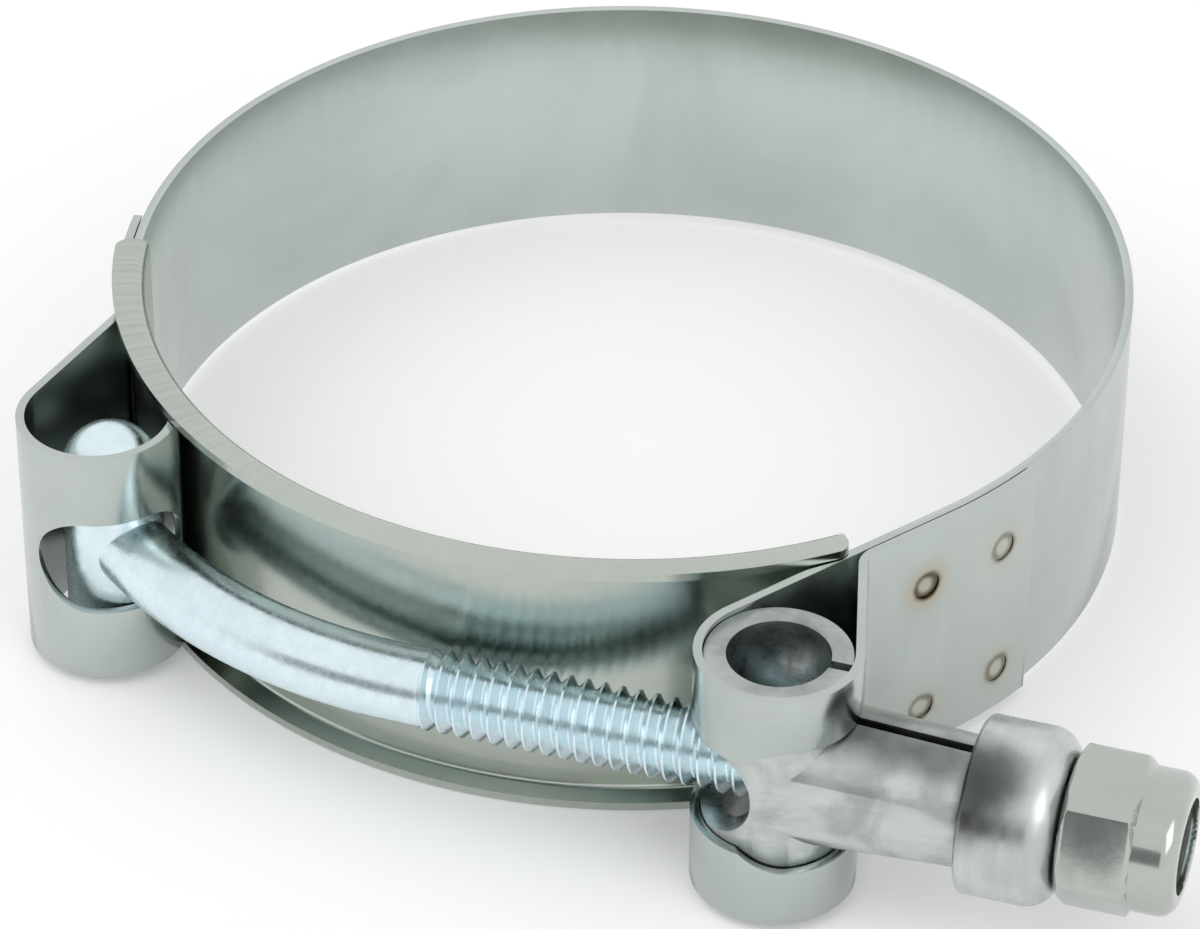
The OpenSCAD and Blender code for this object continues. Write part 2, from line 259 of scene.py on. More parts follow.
    @property
    def nut_end(self) -> float:
        """Place along the bolt where the nut ends."""
        return self.nut_x + self.nut_l

    @property
    def bolt_end(self) -> float:
        """Place along the bolt where its thread ends."""
        return self.nut_end - self.bolt_inset

    @property
    def insert_d(self) -> float:
        """Outer diameter of the insert and of its seat."""
        return self.nut_af - 2 * self.crown_inset - 2 * self.crown_wall

    @property
    def bridge_h(self) -> float:
        """Half height of the bridge with its flanges."""
        return self.band_w / 2 + self.edge_gap + self.bridge_t


PLAN = ClampPlan()


def deselect() -> None:
    """Leaves edit mode and deselects every object."""
    if bpy.context.object and bpy.context.object.mode != "OBJECT":
        bpy.ops.object.mode_set(mode="OBJECT")
    bpy.ops.object.select_all(action="DESELECT")


def named(name: str) -> bpy.types.Object:
    """Names the object that was just added.

    Args:
        name: its new name, and its mesh's.

    Returns:
        The object.
    """
    made = bpy.context.object
    made.name = name
    made.data.name = name
    return made


def hold(piece: bpy.types.Object) -> None:
    """Selects one object alone and makes it the active one.

    Args:
        piece: the object.
    """
    deselect()
    piece.select_set(True)
    bpy.context.view_layer.objects.active = piece


@contextmanager
def editing(piece: bpy.types.Object, element: str = "VERT") -> Iterator[None]:
    """Opens a piece in edit mode, with nothing changed about what is selected.

    Args:
        piece: the object to edit.
        element: VERT, EDGE or FACE, what is selected by.

    Yields:
        Nothing, while the piece is open.
    """
    hold(piece)
    bpy.ops.object.mode_set(mode="EDIT")
    bpy.ops.mesh.select_mode(type=element)
    yield
    bpy.ops.object.mode_set(mode="OBJECT")


def mark(piece: bpy.types.Object, test: Callable[[Vector], bool]) -> None:
    """Selects the vertices that pass a test on their place, for the next edit.

    Args:
        piece: the object, in object mode.
        test: says for a place in metres whether it is selected.
    """
    mesh = piece.data
    mesh.polygons.foreach_set("select", [False] * len(mesh.polygons))
    mesh.edges.foreach_set("select", [False] * len(mesh.edges))
    chosen = [test(v.co) for v in mesh.vertices]
    mesh.vertices.foreach_set("select", chosen)
    for edge in mesh.edges:
        edge.select = all(chosen[i] for i in edge.vertices)
    for face in mesh.polygons:
        face.select = all(chosen[i] for i in face.vertices)


def modify(piece: bpy.types.Object, kind: str, **settings: object) -> None:
    """Adds a modifier with its settings and applies it.

    Args:
        piece: the object to change.
        kind: Blender's name for the modifier.
        settings: the modifier's own values.
    """
    hold(piece)
    bpy.ops.object.modifier_add(type=kind)
    modifier = piece.modifiers[-1]
    for key, value in settings.items():
        setattr(modifier, key, value)
    bpy.ops.object.modifier_apply(modifier=modifier.name)


def settle(piece: bpy.types.Object) -> None:
    """Puts the place, turn and scale of an object into its mesh."""
    hold(piece)
    bpy.ops.object.transform_apply(location=True, rotation=True, scale=True)


def combine(piece: bpy.types.Object, tool: bpy.types.Object, operation: str) -> None:
    """Joins a tool to a piece or cuts it away, and deletes the tool.

    Args:
        piece: the object that stays.
        tool: the object that is used up.
        operation: UNION, DIFFERENCE or INTERSECT.
    """
    modify(piece, "BOOLEAN", object=tool, operation=operation, solver="MANIFOLD")
    bpy.data.objects.remove(tool)


def outward(piece: bpy.types.Object) -> None:
    """Merges doubles and turns every face of a closed piece outwards.

    Args:
        piece: the object.
    """
    with editing(piece):
        bpy.ops.mesh.select_all(action="SELECT")
        bpy.ops.mesh.remove_doubles(threshold=MERGE)
        bpy.ops.mesh.normals_make_consistent(inside=False)


def soften(piece: bpy.types.Object, width: float, angle: float = 35.0, segments: int = 2) -> None:
    """Rounds the sharp edges of a piece and shades the rest smooth.

    Args:
        piece: the object.
        width: size of the rounding in millimetres.
        angle: edges sharper than this, in degrees, are rounded.
        segments: steps of the rounding.
    """
    if width > 0:
        modify(piece, "BEVEL", width=width * MM, segments=segments, limit_method="ANGLE",
               angle_limit=math.radians(angle), use_clamp_overlap=True, miter_outer="MITER_ARC")
    hold(piece)
    bpy.ops.object.shade_smooth_by_angle(angle=math.radians(angle))


def rod(name: str, start: Vector, along: Vector, length: float, diameter: float, sides: int = 96,
        twist: float = 0.0) -> bpy.types.Object:
    """Adds a round rod.

    Args:
        name: the object's name.
        start: middle of its first end, in millimetres.
        along: its direction.
        length: its length in millimetres.
        diameter: its diameter in millimetres.
        sides: facets around it.
        twist: turn of its corners about its axis, in degrees.

    Returns:
        The rod, with its place in its mesh.
    """
    deselect()
    along = along.normalized()
    middle = (start + along * length / 2) * MM
    turn = (along.to_track_quat("Z", "Y") @ Quaternion(Z_AXIS, math.radians(twist))).to_euler()
    bpy.ops.mesh.primitive_cylinder_add(vertices=sides, radius=diameter / 2 * MM, depth=length * MM,
                                        location=middle, rotation=turn)
    made = named(name)
    settle(made)
    return made


def point(name: str, at: Vector) -> bpy.types.Object:
    """Adds a mesh of one selected vertex, the start of a drawn outline.

    Args:
        name: the object's name.
        at: its place in metres.

    Returns:
        The new object.
    """
    deselect()
    bpy.ops.mesh.primitive_plane_add(size=MM, location=(0, 0, 0))
    made = named(name)
    with editing(made):
        bpy.ops.mesh.select_all(action="SELECT")
        bpy.ops.mesh.merge(type="CENTER")
        bpy.ops.transform.translate(value=at)
    return made


def draw_run(step: Vector) -> None:
    """Extrudes what is selected in edit mode by a straight step in metres."""
    bpy.ops.mesh.extrude_region_move(TRANSFORM_OT_translate={"value": step})


def draw_arc(centre: Vector, degrees: float, steps: int, axis: Vector = Z_AXIS) -> None:
    """Spins what is selected in edit mode about an axis.

    Args:
        centre: a place on the axis, in metres.
        degrees: how far it turns, by the right-hand rule.
        steps: number of facets.
        axis: direction of the axis.
    """
    bpy.ops.mesh.spin(steps=steps, angle=-math.radians(degrees), center=centre, axis=axis)


def arc_points(s: float, r: float, radius: float, start: float, end: float,
               steps: int) -> list[tuple[float, float]]:
    """Gives the points of an arc in an outline.

    Args:
        s: place of its middle along the axis.
        r: distance of its middle from the axis.
        radius: its radius.
        start: angle of its first point, in degrees from the axis.
        end: angle of its last point.
        steps: number of pieces.

    Returns:
        Pairs of place along the axis and distance from it.
    """
    arc = [polar(radius, start + (end - start) * i / steps) for i in range(steps + 1)]
    return [(s + place.x, r + place.y) for place in arc]


def turned(name: str, origin: Vector, along: Vector, across: Vector, outline: Sequence[tuple[float, float]],
           steps: int = 96) -> bpy.types.Object:
    """Turns an outline about an axis into a closed piece.

    Args:
        name: the object's name.
        origin: where the axis starts, in millimetres.
        along: direction of the axis.
        across: direction in which the outline is drawn.
        outline: pairs of place along the axis and distance from it, in millimetres.
        steps: facets around it.

    Returns:
        The piece.
    """
    places = [(origin + along * s + across * r) * MM for s, r in outline]
    piece = point(name, places[0])
    with editing(piece):
        bpy.ops.mesh.select_all(action="SELECT")
        for before, after in zip(places, places[1:]):
            draw_run(after - before)
        bpy.ops.mesh.select_all(action="SELECT")
        draw_arc(origin * MM, 360.0, steps, along)
    outward(piece)
    return piece


def block(name: str, middle: Vector, size: Vector, axes: Matrix = Matrix.Identity(3)) -> bpy.types.Object:
    """Adds a box.

    Args:
        name: the object's name.
        middle: its middle in millimetres.
        size: its three sizes in millimetres.
        axes: the directions of its sides, as columns.

    Returns:
        The box, with its place in its mesh.
    """
    deselect()
    bpy.ops.mesh.primitive_cube_add(size=1, location=middle * MM, rotation=axes.to_euler(), scale=size * MM)
    made = named(name)
    settle(made)
    return made


def corner_tool(at: Vector, first: Vector, second: Vector, radius: float, depth: float) -> bpy.types.Object:
    """Makes the tool that rounds one corner of a sheet.

    Args:
        at: the corner in millimetres.
        first: direction of one edge, into the sheet.
        second: direction of the other edge, into the sheet.
        radius: radius of the rounding in millimetres.
        depth: how deep the tool reaches through the sheet.

    Returns:
        The closed tool.
    """
    normal = first.cross(second)
    axes = Matrix((first, second, normal)).transposed()
    side = radius + OVER
    inside = at + (first + second) * (radius - OVER) / 2
    tool = block("corner_tool", inside, Vector((side, side, depth)), axes)
    middle = at + (first + second) * radius - normal * depth
    combine(tool, rod("corner_rod", middle, normal, 2 * depth, 2 * radius), "DIFFERENCE")
    return tool


def join(piece: bpy.types.Object, others: Sequence[bpy.types.Object]) -> None:
    """Joins further objects into a piece.

    Args:
        piece: the object that stays.
        others: the objects that become part of it.
    """
    hold(piece)
    for other in others:
        other.select_set(True)
    bpy.ops.object.join()


def stand_for(piece: bpy.types.Object, node: str, body: str) -> None:
    """Lets a piece stand for a CAD node.

    Args:
        piece: the finished object.
        node: the CAD node that it replaces.
        body: the body that it moves with.
    """
    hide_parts(node)
    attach(piece, body)


class Side(Enum):
    """The two ends of the strip."""

    RIGHT = "right"
    LEFT = "left"


@dataclass(frozen=True)
class StripEnd:
    """Where one end of the strip loops back, worked out for a strip that leaves the ring at angle 0."""

    side: Side
    plan: ClampPlan = PLAN

    @property
    def run(self) -> float:
        """Straight length from the ring to the loop."""
        return self.plan.right_run if self.side is Side.RIGHT else 0.0

    @property
    def tail(self) -> float:
        """Length of the tail on the ring."""
        return self.plan.right_tail if self.side is Side.RIGHT else self.plan.left_tail

    @property
    def on_ring(self) -> float:
        """Angle at which the return wall lands on the ring, in degrees."""
        return math.degrees(max(0.0, self.plan.return_run - self.run) / self.plan.tail_r)

    @property
    def on_run(self) -> float:
        """Place on the straight run at which the return wall lands, at most 0."""
        return min(0.0, self.plan.return_run - self.run)

    @property
    def loop_at(self) -> Vector:
        """Axis of the loop."""
        return Vector((self.plan.ring_r + self.plan.loop_r, -self.run, 0.0))

    @property
    def bend_at(self) -> Vector:
        """Axis of the bend between the return wall and the tail."""
        return polar(self.plan.tail_r + self.plan.return_bend, self.on_ring) + Vector((0.0, self.on_run, 0.0))

    @property
    def leave(self) -> float:
        """Works out where the return wall leaves the loop.

        Returns:
            The angle on the loop, in degrees.
        """
        span = self.bend_at - self.loop_at
        reach = (self.plan.loop_r + self.plan.return_bend) / span.length
        return math.degrees(math.atan2(span.y, span.x) - math.acos(reach))

    @property
    def wall(self) -> float:
        """Length of the return wall."""
        span = self.bend_at - self.loop_at
        return math.sqrt(span.length_squared - (self.plan.loop_r + self.plan.return_bend) ** 2)

    @property
    def tail_arc(self) -> float:
        """Angle of the tail's curved part, in degrees."""
        return math.degrees((self.tail + self.on_run) / self.plan.tail_r)

    @property
    def end_angle(self) -> float:
        """Angle on the clamp at which the tail ends, in degrees."""
        span = self.on_ring + self.tail_arc
        return self.plan.right_leave + span if self.side is Side.RIGHT else self.plan.left_touch - span

    def placed(self, local: Vector) -> Vector:
        """Turns a place or direction of the worked-out end into one on the clamp.

        Args:
            local: the place or direction in millimetres.

        Returns:
            The place or direction in metres.
        """
        if self.side is Side.RIGHT:
            return Matrix.Rotation(math.radians(self.plan.right_leave), 3, "Z") @ local * MM
        flipped = Vector((local.x, -local.y, local.z))
        return Matrix.Rotation(math.radians(self.plan.left_touch), 3, "Z") @ flipped * MM

    def weld_places(self) -> list[Vector]:
        """Gives the middles of the four spot welds on the tail's outer face.

        Returns:
            Four places in millimetres.
        """
        turn = -1 if self.side is Side.RIGHT else 1
        outer = self.plan.tail_r + self.plan.band_t / 2
        places = []
        for column in (0, 1):
            along = self.plan.weld_inset + column * self.plan.weld_columns
            flat = polar(outer, self.end_angle + turn * math.degrees(along / self.plan.tail_r))
            for row in (-1, 1):
                places.append(flat + Z_AXIS * (row * self.plan.weld_rows / 2 - self.plan.weld_drop))
        return places


class NodeSheet:
    """A node tree that is filled node by node."""

    def __init__(self, tree: bpy.types.NodeTree) -> None:
        """Keeps the tree and empties it."""
        self.tree = tree
        tree.nodes.clear()

    def add(self, kind: str, settings: dict[str, object] | None = None, **inputs: object) -> bpy.types.Node:
        """Adds a node, sets its properties and fills or links its inputs.

        Args:
            kind: Blender's name for the node.
            settings: the node's own properties.
            inputs: values or output sockets by input name, with _ for a space, or by i and a number.

        Returns:
            The node.
        """
        node = self.tree.nodes.new(kind)
        for key, value in (settings or {}).items():
            setattr(node, key, value)
        for key, value in inputs.items():
            socket = node.inputs[int(key[1:]) if key[1:].isdigit() else key.replace("_", " ")]
            if isinstance(value, Socket):
                self.tree.links.new(value, socket)
            else:
                socket.default_value = value
        return node

    def math(self, operation: str, first: object, second: object = 0.0, clamp: bool = False) -> Socket:
        """Adds a Math node and returns its result."""
        node = self.add("ShaderNodeMath", {"operation": operation, "use_clamp": clamp}, i0=first, i1=second)
        return node.outputs[0]

    def vector(self, operation: str, first: object, second: object) -> bpy.types.Node:
        """Adds a Vector Math node."""
        return self.add("ShaderNodeVectorMath", {"operation": operation}, i0=first, i1=second)

    def remap(self, value: object, low: float, high: float, to_low: float, to_high: float) -> Socket:
        """Adds a smooth Map Range node.

        Args:
            value: what is mapped.
            low: where the source range starts.
            high: where it ends.
            to_low: result at its start.
            to_high: result at its end.

        Returns:
            The result socket.
        """
        node = self.add("ShaderNodeMapRange", {"interpolation_type": "SMOOTHSTEP"}, Value=value, From_Min=low,
                        From_Max=high, To_Min=to_low, To_Max=to_high)
        return node.outputs[0]

    def mix(self, factor: object, first: object, second: object, blend: str = "MIX") -> Socket:
        """Mixes two colours.

        Args:
            factor: share of the second one.
            first: a colour or a socket.
            second: a colour or a socket.
            blend: Blender's blend type.

        Returns:
            The mixed colour's socket.
        """
        settings = {"data_type": "RGBA", "blend_type": blend}
        return self.add("ShaderNodeMix", settings, i0=factor, i6=first, i7=second).outputs[2]


def material_sheet(name: str) -> tuple[bpy.types.Material, NodeSheet]:
    """Starts a material.

    Args:
        name: the material's name.

    Returns:
        The new material and its empty sheet.
    """
    made = bpy.data.materials.new(name)
    made.use_nodes = True
    return made, NodeSheet(made.node_tree)


class Effect(Enum):
    """The shared surface effects, each one shader node group."""

    MARKS = "BrushedMarks"
    SMUDGES = "HandlingSmudges"
    WELD = "WeldHeat"
    PATCH = "DarkPatch"


@dataclass
class EffectGroups:
    """Makes the shared node groups once and hands them out.

    A pair gives where a change starts and ends: of the noise in the first three, and of the distance from a
    weld's middle, in metres, in the next three.
    """

    marks_step: tuple[float, float] = (0.3, 0.7)
    smudge_step: tuple[float, float] = (0.38, 0.68)
    patch_step: tuple[float, float] = (0.3, 0.7)
    ring_in: tuple[float, float] = (0.0004, 0.0009)
    ring_out: tuple[float, float] = (0.0010, 0.0015)
    halo_out: tuple[float, float] = (0.0010, 0.0030)
    weld_wobble: float = 0.0005
    weld_scale: float = 900.0
    patch_scale: float = 260.0
    patch_core: float = 0.2
    patch_ragged: float = 0.06
    made: dict[Effect, bpy.types.NodeTree] = field(default_factory=dict)

    def get(self, effect: Effect) -> bpy.types.NodeTree:
        """Gives the node group of an effect, made on first use.

        Args:
            effect: which effect it is.

        Returns:
            The group.
        """
        if effect not in self.made:
            makers = {
                Effect.MARKS: self.marks,
                Effect.SMUDGES: self.smudges,
                Effect.WELD: self.weld,
                Effect.PATCH: self.patch,
            }
            self.made[effect] = makers[effect]()
        return self.made[effect]

    def put(self, sheet: NodeSheet, effect: Effect, **inputs: object) -> bpy.types.Node:
        """Adds the node of an effect to a sheet, with its inputs filled or linked, and returns it."""
        return sheet.add("ShaderNodeGroup", {"node_tree": self.get(effect)}, **inputs)

    @staticmethod
    def start(effect: Effect, inputs: dict[str, str],
              outputs: Sequence[str]) -> tuple[NodeSheet, bpy.types.Node]:
        """Opens a new group with its sockets.

        Args:
            effect: which effect it is.
            inputs: socket types by name.
            outputs: names of the value outputs.

        Returns:
            The sheet to fill and the group's input node.
        """
        tree = bpy.data.node_groups.new(effect.value, "ShaderNodeTree")
        for name, kind in inputs.items():
            tree.interface.new_socket(name, in_out="INPUT", socket_type=kind)
        for name in outputs:
            tree.interface.new_socket(name, in_out="OUTPUT", socket_type="NodeSocketFloat")
        sheet = NodeSheet(tree)
        return sheet, sheet.add("NodeGroupInput")

    def marks(self) -> bpy.types.NodeTree:
        """Makes the fine lines that rolling or turning leaves, from 0 to 1.

        Returns:
            The group, with the place and the stretch of the lines as inputs.
        """
        inputs = {"Place": "NodeSocketVector", "Stretch": "NodeSocketVector"}
        sheet, given = self.start(Effect.MARKS, inputs, ["Marks"])
        drawn = sheet.vector("MULTIPLY", given.outputs[0], given.outputs[1]).outputs[0]
        noise = sheet.add("ShaderNodeTexNoise", Vector=drawn, Scale=1.0, Detail=4.0, Roughness=0.65)
        sheet.add("NodeGroupOutput", i0=sheet.remap(noise.outputs[0], *self.marks_step, 0.0, 1.0))
        return sheet.tree

    def smudges(self) -> bpy.types.NodeTree:
        """Makes the soft stains of handling, from 0 to 1.

        Returns:
            The group, with the place and the scale of the stains as inputs.
        """
        inputs = {"Place": "NodeSocketVector", "Scale": "NodeSocketFloat"}
        sheet, given = self.start(Effect.SMUDGES, inputs, ["Smudge"])
        noise = sheet.add("ShaderNodeTexNoise", Vector=given.outputs[0], Scale=given.outputs[1], Detail=5.0,
                          Roughness=0.55, Distortion=0.7)
        sheet.add("NodeGroupOutput", i0=sheet.remap(noise.outputs[0], *self.smudge_step, 0.0, 1.0))
        return sheet.tree

    def weld(self) -> bpy.types.NodeTree:
        """Makes the ring and the heat halo of one spot weld.

        Returns:
            The group, with the place and the weld's middle as inputs.
        """
        inputs = {"Place": "NodeSocketVector", "Middle": "NodeSocketVector"}
        sheet, given = self.start(Effect.WELD, inputs, ["Ring", "Halo"])
        wobble = sheet.add("ShaderNodeTexNoise", Vector=given.outputs[0], Scale=self.weld_scale, Detail=2.0)
        away = sheet.vector("DISTANCE", given.outputs[0], given.outputs[1]).outputs["Value"]
        away = sheet.math("ADD", away, sheet.math("MULTIPLY", wobble.outputs[0], self.weld_wobble))
        away = sheet.math("SUBTRACT", away, self.weld_wobble / 2)
        inner = sheet.remap(away, *self.ring_in, 0.0, 1.0)
        outer = sheet.remap(away, *self.ring_out, 1.0, 0.0)
        halo = sheet.remap(away, *self.halo_out, 1.0, 0.0)
        sheet.add("NodeGroupOutput", i0=sheet.math("MULTIPLY", inner, outer), i1=halo)
        return sheet.tree

    def patch(self) -> bpy.types.NodeTree:
        """Makes one dark patch that fades outwards, which the finishes use for painted reflection, painted
        shade and darker blotches.

        Returns:
            The group, with the place and the patch's middle and reach as inputs.
        """
        inputs = {"Place": "NodeSocketVector", "Middle": "NodeSocketVector", "Reach": "NodeSocketFloat"}
        sheet, given = self.start(Effect.PATCH, inputs, ["Patch"])
        noise = sheet.add("ShaderNodeTexNoise", Vector=given.outputs[0], Scale=self.patch_scale, Detail=4.0,
                          Roughness=0.6)
        away = sheet.vector("DISTANCE", given.outputs[0], given.outputs[1]).outputs["Value"]
        share = sheet.math("DIVIDE", away, given.outputs[2])
        fringe = sheet.remap(noise.outputs[0], *self.patch_step, -self.patch_ragged, self.patch_ragged)
        ragged = sheet.math("ADD", share, fringe)
        sheet.add("NodeGroupOutput", i0=sheet.remap(ragged, self.patch_core, 1.0, 1.0, 0.0))
        return sheet.tree


GROUPS = EffectGroups()


@dataclass(frozen=True)
class Spot:
    """A round mark on a surface, in metres."""

    middle: tuple[float, float, float]
    strength: float = 1.0
    reach: float = 0.004


@dataclass(frozen=True)
class MetalFinish:
    """A bare or plated metal with fine marks, soft stains and dark patches; on some finishes the patches are
    painted shade and painted reflection.
    """

    name: str
    color: tuple[float, float, float]
    stain: tuple[float, float, float]
    roughness: float
    rough_span: float = 0.1
    stretch: tuple[float, float, float] = (2500.0, 2500.0, 60.0)
    marks_share: float = 0.2
    marks_tone: float = 0.62
    marks_depth: float = 0.1
    bump_height: float = 0.00005
    smudge_scale: float = 60.0
    smudge_share: float = 0.35
    patches: tuple[Spot, ...] = ()
    # Colour of the dark patches, which paint reflection on the collar and shade on the tube's top
    patch_dark: tuple[float, float, float] = (0.06, 0.065, 0.065)

    def surface(self, sheet: NodeSheet, place: Socket) -> tuple[Socket, Socket]:
        """Adds the nodes of the marks and stains.

        Args:
            sheet: the material's sheet.
            place: the object coordinates.

        Returns:
            The colour and the marks.
        """
        marks = GROUPS.put(sheet, Effect.MARKS, Place=place, Stretch=self.stretch)
        smudge = GROUPS.put(sheet, Effect.SMUDGES, Place=place, Scale=self.smudge_scale)
        stains = sheet.math("MULTIPLY", smudge.outputs[0], self.smudge_share)
        stained = sheet.mix(stains, (*self.color, 1), (*self.stain, 1))
        dark = tuple(channel * self.marks_tone for channel in self.color)
        color = sheet.mix(sheet.math("MULTIPLY", marks.outputs[0], self.marks_share), stained, (*dark, 1))
        # Dark patches mixed into the colour: painted reflection on the collar, painted shade on the tube's
        # top, darker blotches on the sleeve
        for spot in self.patches:
            patch = GROUPS.put(sheet, Effect.PATCH, Place=place, Middle=spot.middle, Reach=spot.reach)
            darkening = sheet.math("MULTIPLY", patch.outputs[0], spot.strength)
            color = sheet.mix(darkening, color, (*self.patch_dark, 1))
        return color, marks.outputs[0]

    def material(self) -> bpy.types.Material:
        """Makes the material.

        Returns:
            The new material.
        """
        made, sheet = material_sheet(self.name)
        place = sheet.add("ShaderNodeTexCoord").outputs["Object"]
        color, marks = self.surface(sheet, place)
        half = self.rough_span / 2
        rough = sheet.remap(marks, 0.0, 1.0, self.roughness - half, self.roughness + half)
        bump = sheet.add("ShaderNodeBump", Strength=self.marks_depth, Distance=self.bump_height, Height=marks)
        shader = sheet.add("ShaderNodeBsdfPrincipled", Base_Color=color, Metallic=1.0, Roughness=rough,
                           Normal=bump.outputs[0])
        sheet.add("ShaderNodeOutputMaterial", Surface=shader.outputs[0])
        return made


@dataclass(frozen=True)
class WeldedFinish(MetalFinish):
    """A sheet metal with painted light brightening the inner face of its ring, and burnt rings and heat halos
    around its spot welds.
    """

    welds: tuple[Spot, ...] = ()
    # Share by which the ring's inner face is painted brighter, as painted light
    inner_painted_light: float = 0.1
    halo_share: float = 0.55
    ring_share: float = 0.95
    burnt: tuple[float, float, float] = (0.11, 0.09, 0.055)
    tan: tuple[float, float, float] = (0.46, 0.39, 0.26)

    def surface(self, sheet: NodeSheet, place: Socket) -> tuple[Socket, Socket]:
        """Adds the weld marks to the metal's own marks and stains.

        Args:
            sheet: the material's sheet.
            place: the object coordinates.

        Returns:
            The colour and the marks.
        """
        color, marks = super().surface(sheet, place)
        rings: Socket | float = 0.0
        halos: Socket | float = 0.0
        for weld in self.welds:
            spot = GROUPS.put(sheet, Effect.WELD, Place=place, Middle=weld.middle)
            rings = sheet.math("MAXIMUM", sheet.math("MULTIPLY", spot.outputs[0], weld.strength), rings)
            halos = sheet.math("MAXIMUM", sheet.math("MULTIPLY", spot.outputs[1], weld.strength ** 2), halos)
        # Painted light: the ring's inner face is brightened, to lift the shade that falls inside the ring
        flat = sheet.vector("MULTIPLY", place, (1.0, 1.0, 0.0)).outputs[0]
        radius = sheet.add("ShaderNodeVectorMath", {"operation": "LENGTH"}, i0=flat).outputs["Value"]
        half = PLAN.band_t / 2 * MM
        inside = sheet.remap(radius, PLAN.ring_r * MM - half, PLAN.ring_r * MM + half, 1.0, 0.0)
        brightening = 1 + self.inner_painted_light
        color = sheet.mix(inside, color, (brightening, brightening, brightening, 1), "MULTIPLY")
        color = sheet.mix(sheet.math("MULTIPLY", halos, self.halo_share), color, (*self.tan, 1))
        color = sheet.mix(sheet.math("MULTIPLY", rings, self.ring_share), color, (*self.burnt, 1))
        return color, marks


@dataclass(frozen=True)
class FlangedFinish(MetalFinish):
    """A sheet metal whose bent flanges carry fine ribs, fainter where the turn about Z passes the fade."""

    ribs_per_radian: float = 62.0
    ribs_share: float = 0.22
    ribs_tone: float = 0.5
    ribs_depth: float = 2.0
    ribs_left: float = 0.2
    ribs_step: tuple[float, float] = (0.35, 0.65)
    flange_step: float = 0.0002
    fade_from: float = -2.5
    fade_to: float = -1.7

    def surface(self, sheet: NodeSheet, place: Socket) -> tuple[Socket, Socket]:
        """Adds the ribs of the flanges to the metal's own marks and stains.

        Args:
            sheet: the material's sheet.
            place: the object coordinates.

        Returns:
            The colour and the marks.
        """
        color, marks = super().surface(sheet, place)
        apart = sheet.add("ShaderNodeSeparateXYZ", Vector=place)
        turn = sheet.math("ARCTAN2", apart.outputs["Y"], apart.outputs["X"])
        along = sheet.add("ShaderNodeCombineXYZ", X=sheet.math("MULTIPLY", turn, self.ribs_per_radian))
        noise = sheet.add("ShaderNodeTexNoise", Vector=along.outputs[0], Scale=1.0, Detail=2.0)
        half = PLAN.band_w / 2 * MM
        height = sheet.math("ABSOLUTE", apart.outputs["Z"])
        flange = sheet.remap(height, half, half + self.flange_step, 0.0, 1.0)
        fade = sheet.remap(turn, self.fade_from, self.fade_to, 1.0, self.ribs_left)
        ribbed = sheet.math("MULTIPLY", flange, fade)
        ribs = sheet.math("MULTIPLY", sheet.remap(noise.outputs[0], *self.ribs_step, 0.0, 1.0), ribbed)
        dark = tuple(channel * self.ribs_tone for channel in self.color)
        color = sheet.mix(sheet.math("MULTIPLY", ribs, self.ribs_share), color, (*dark, 1))
        return color, sheet.math("ADD", marks, sheet.math("MULTIPLY", ribs, self.ribs_depth))


@dataclass(frozen=True)
class NylonFinish:
    """Matt moulded nylon."""

    name: str
    color: tuple[float, float, float]
    pale: tuple[float, float, float]
    roughness: float = 0.5
    smudge_scale: float = 400.0

    def material(self) -> bpy.types.Material:
        """Makes the material.

        Returns:
            The new material.
        """
        made, sheet = material_sheet(self.name)
        place = sheet.add("ShaderNodeTexCoord").outputs["Object"]
        smudge = GROUPS.put(sheet, Effect.SMUDGES, Place=place, Scale=self.smudge_scale)
        color = sheet.mix(smudge.outputs[0], (*self.color, 1), (*self.pale, 1))
        shader = sheet.add("ShaderNodeBsdfPrincipled", Base_Color=color, Roughness=self.roughness)
        sheet.add("ShaderNodeOutputMaterial", Surface=shader.outputs[0])
        return made


WELD_BURNS = (0.72, 0.64, 0.7, 1.0, 0.8, 0.6, 0.7, 0.75)


def weld_marks() -> tuple[Spot, ...]:
    """Gives the heat marks of all spot welds, some burnt more than others."""
    places = [place for side in (Side.RIGHT, Side.LEFT) for place in StripEnd(side).weld_places()]
    return tuple(Spot(tuple(place * MM), burn) for place, burn in zip(places, WELD_BURNS))


def along_bolt(x: float, y: float, z: float, strength: float, reach: float) -> Spot:
    """Gives a mark placed from the right loop, along and across the bolt, in millimetres."""
    return Spot(tuple((PLAN.right_loop + Vector((x, y, z))) * MM), strength, reach * MM)


BAND_STEEL = WeldedFinish(
    "band_steel", (0.515, 0.56, 0.535), (0.42, 0.46, 0.437), 0.21, rough_span=0.03,
    stretch=(700.0, 700.0, 160.0), marks_share=0.02, marks_depth=0.001,
    smudge_scale=55.0, smudge_share=0.6, welds=weld_marks(),
)
BRIDGE_STEEL = FlangedFinish(
    "bridge_steel", (0.5, 0.54, 0.495), (0.43, 0.46, 0.415), 0.2, rough_span=0.04,
    stretch=(500.0, 500.0, 260.0), marks_share=0.06, marks_depth=0.02,
)
BOLT_ZINC = MetalFinish(
    "bolt_zinc", (0.75, 0.88, 0.925), (0.64, 0.785, 0.845), 0.27,
    stretch=(900.0, 900.0, 900.0), marks_share=0.16,
)
TRUNNION_STEEL = MetalFinish(
    "trunnion_steel", (0.58, 0.615, 0.6), (0.32, 0.345, 0.335), 0.31,
    stretch=(240.0, 1200.0, 1200.0), marks_share=0.18, marks_depth=0.08,
    smudge_scale=240.0, smudge_share=0.75,
    patches=(
        # Darker patches on the sleeve's upper side
        along_bolt(5.5, -1.0, 5.4, 0.8, 3.2),
        along_bolt(8.5, -1.2, 5.0, 0.7, 3.6),
        along_bolt(12.0, -1.6, 4.6, 0.7, 3.6),
        # Painted shade: a broad dark patch over the tube's top face
        along_bolt(0.0, 0.0, 9.6, 0.42, 8.5),
    ),
)
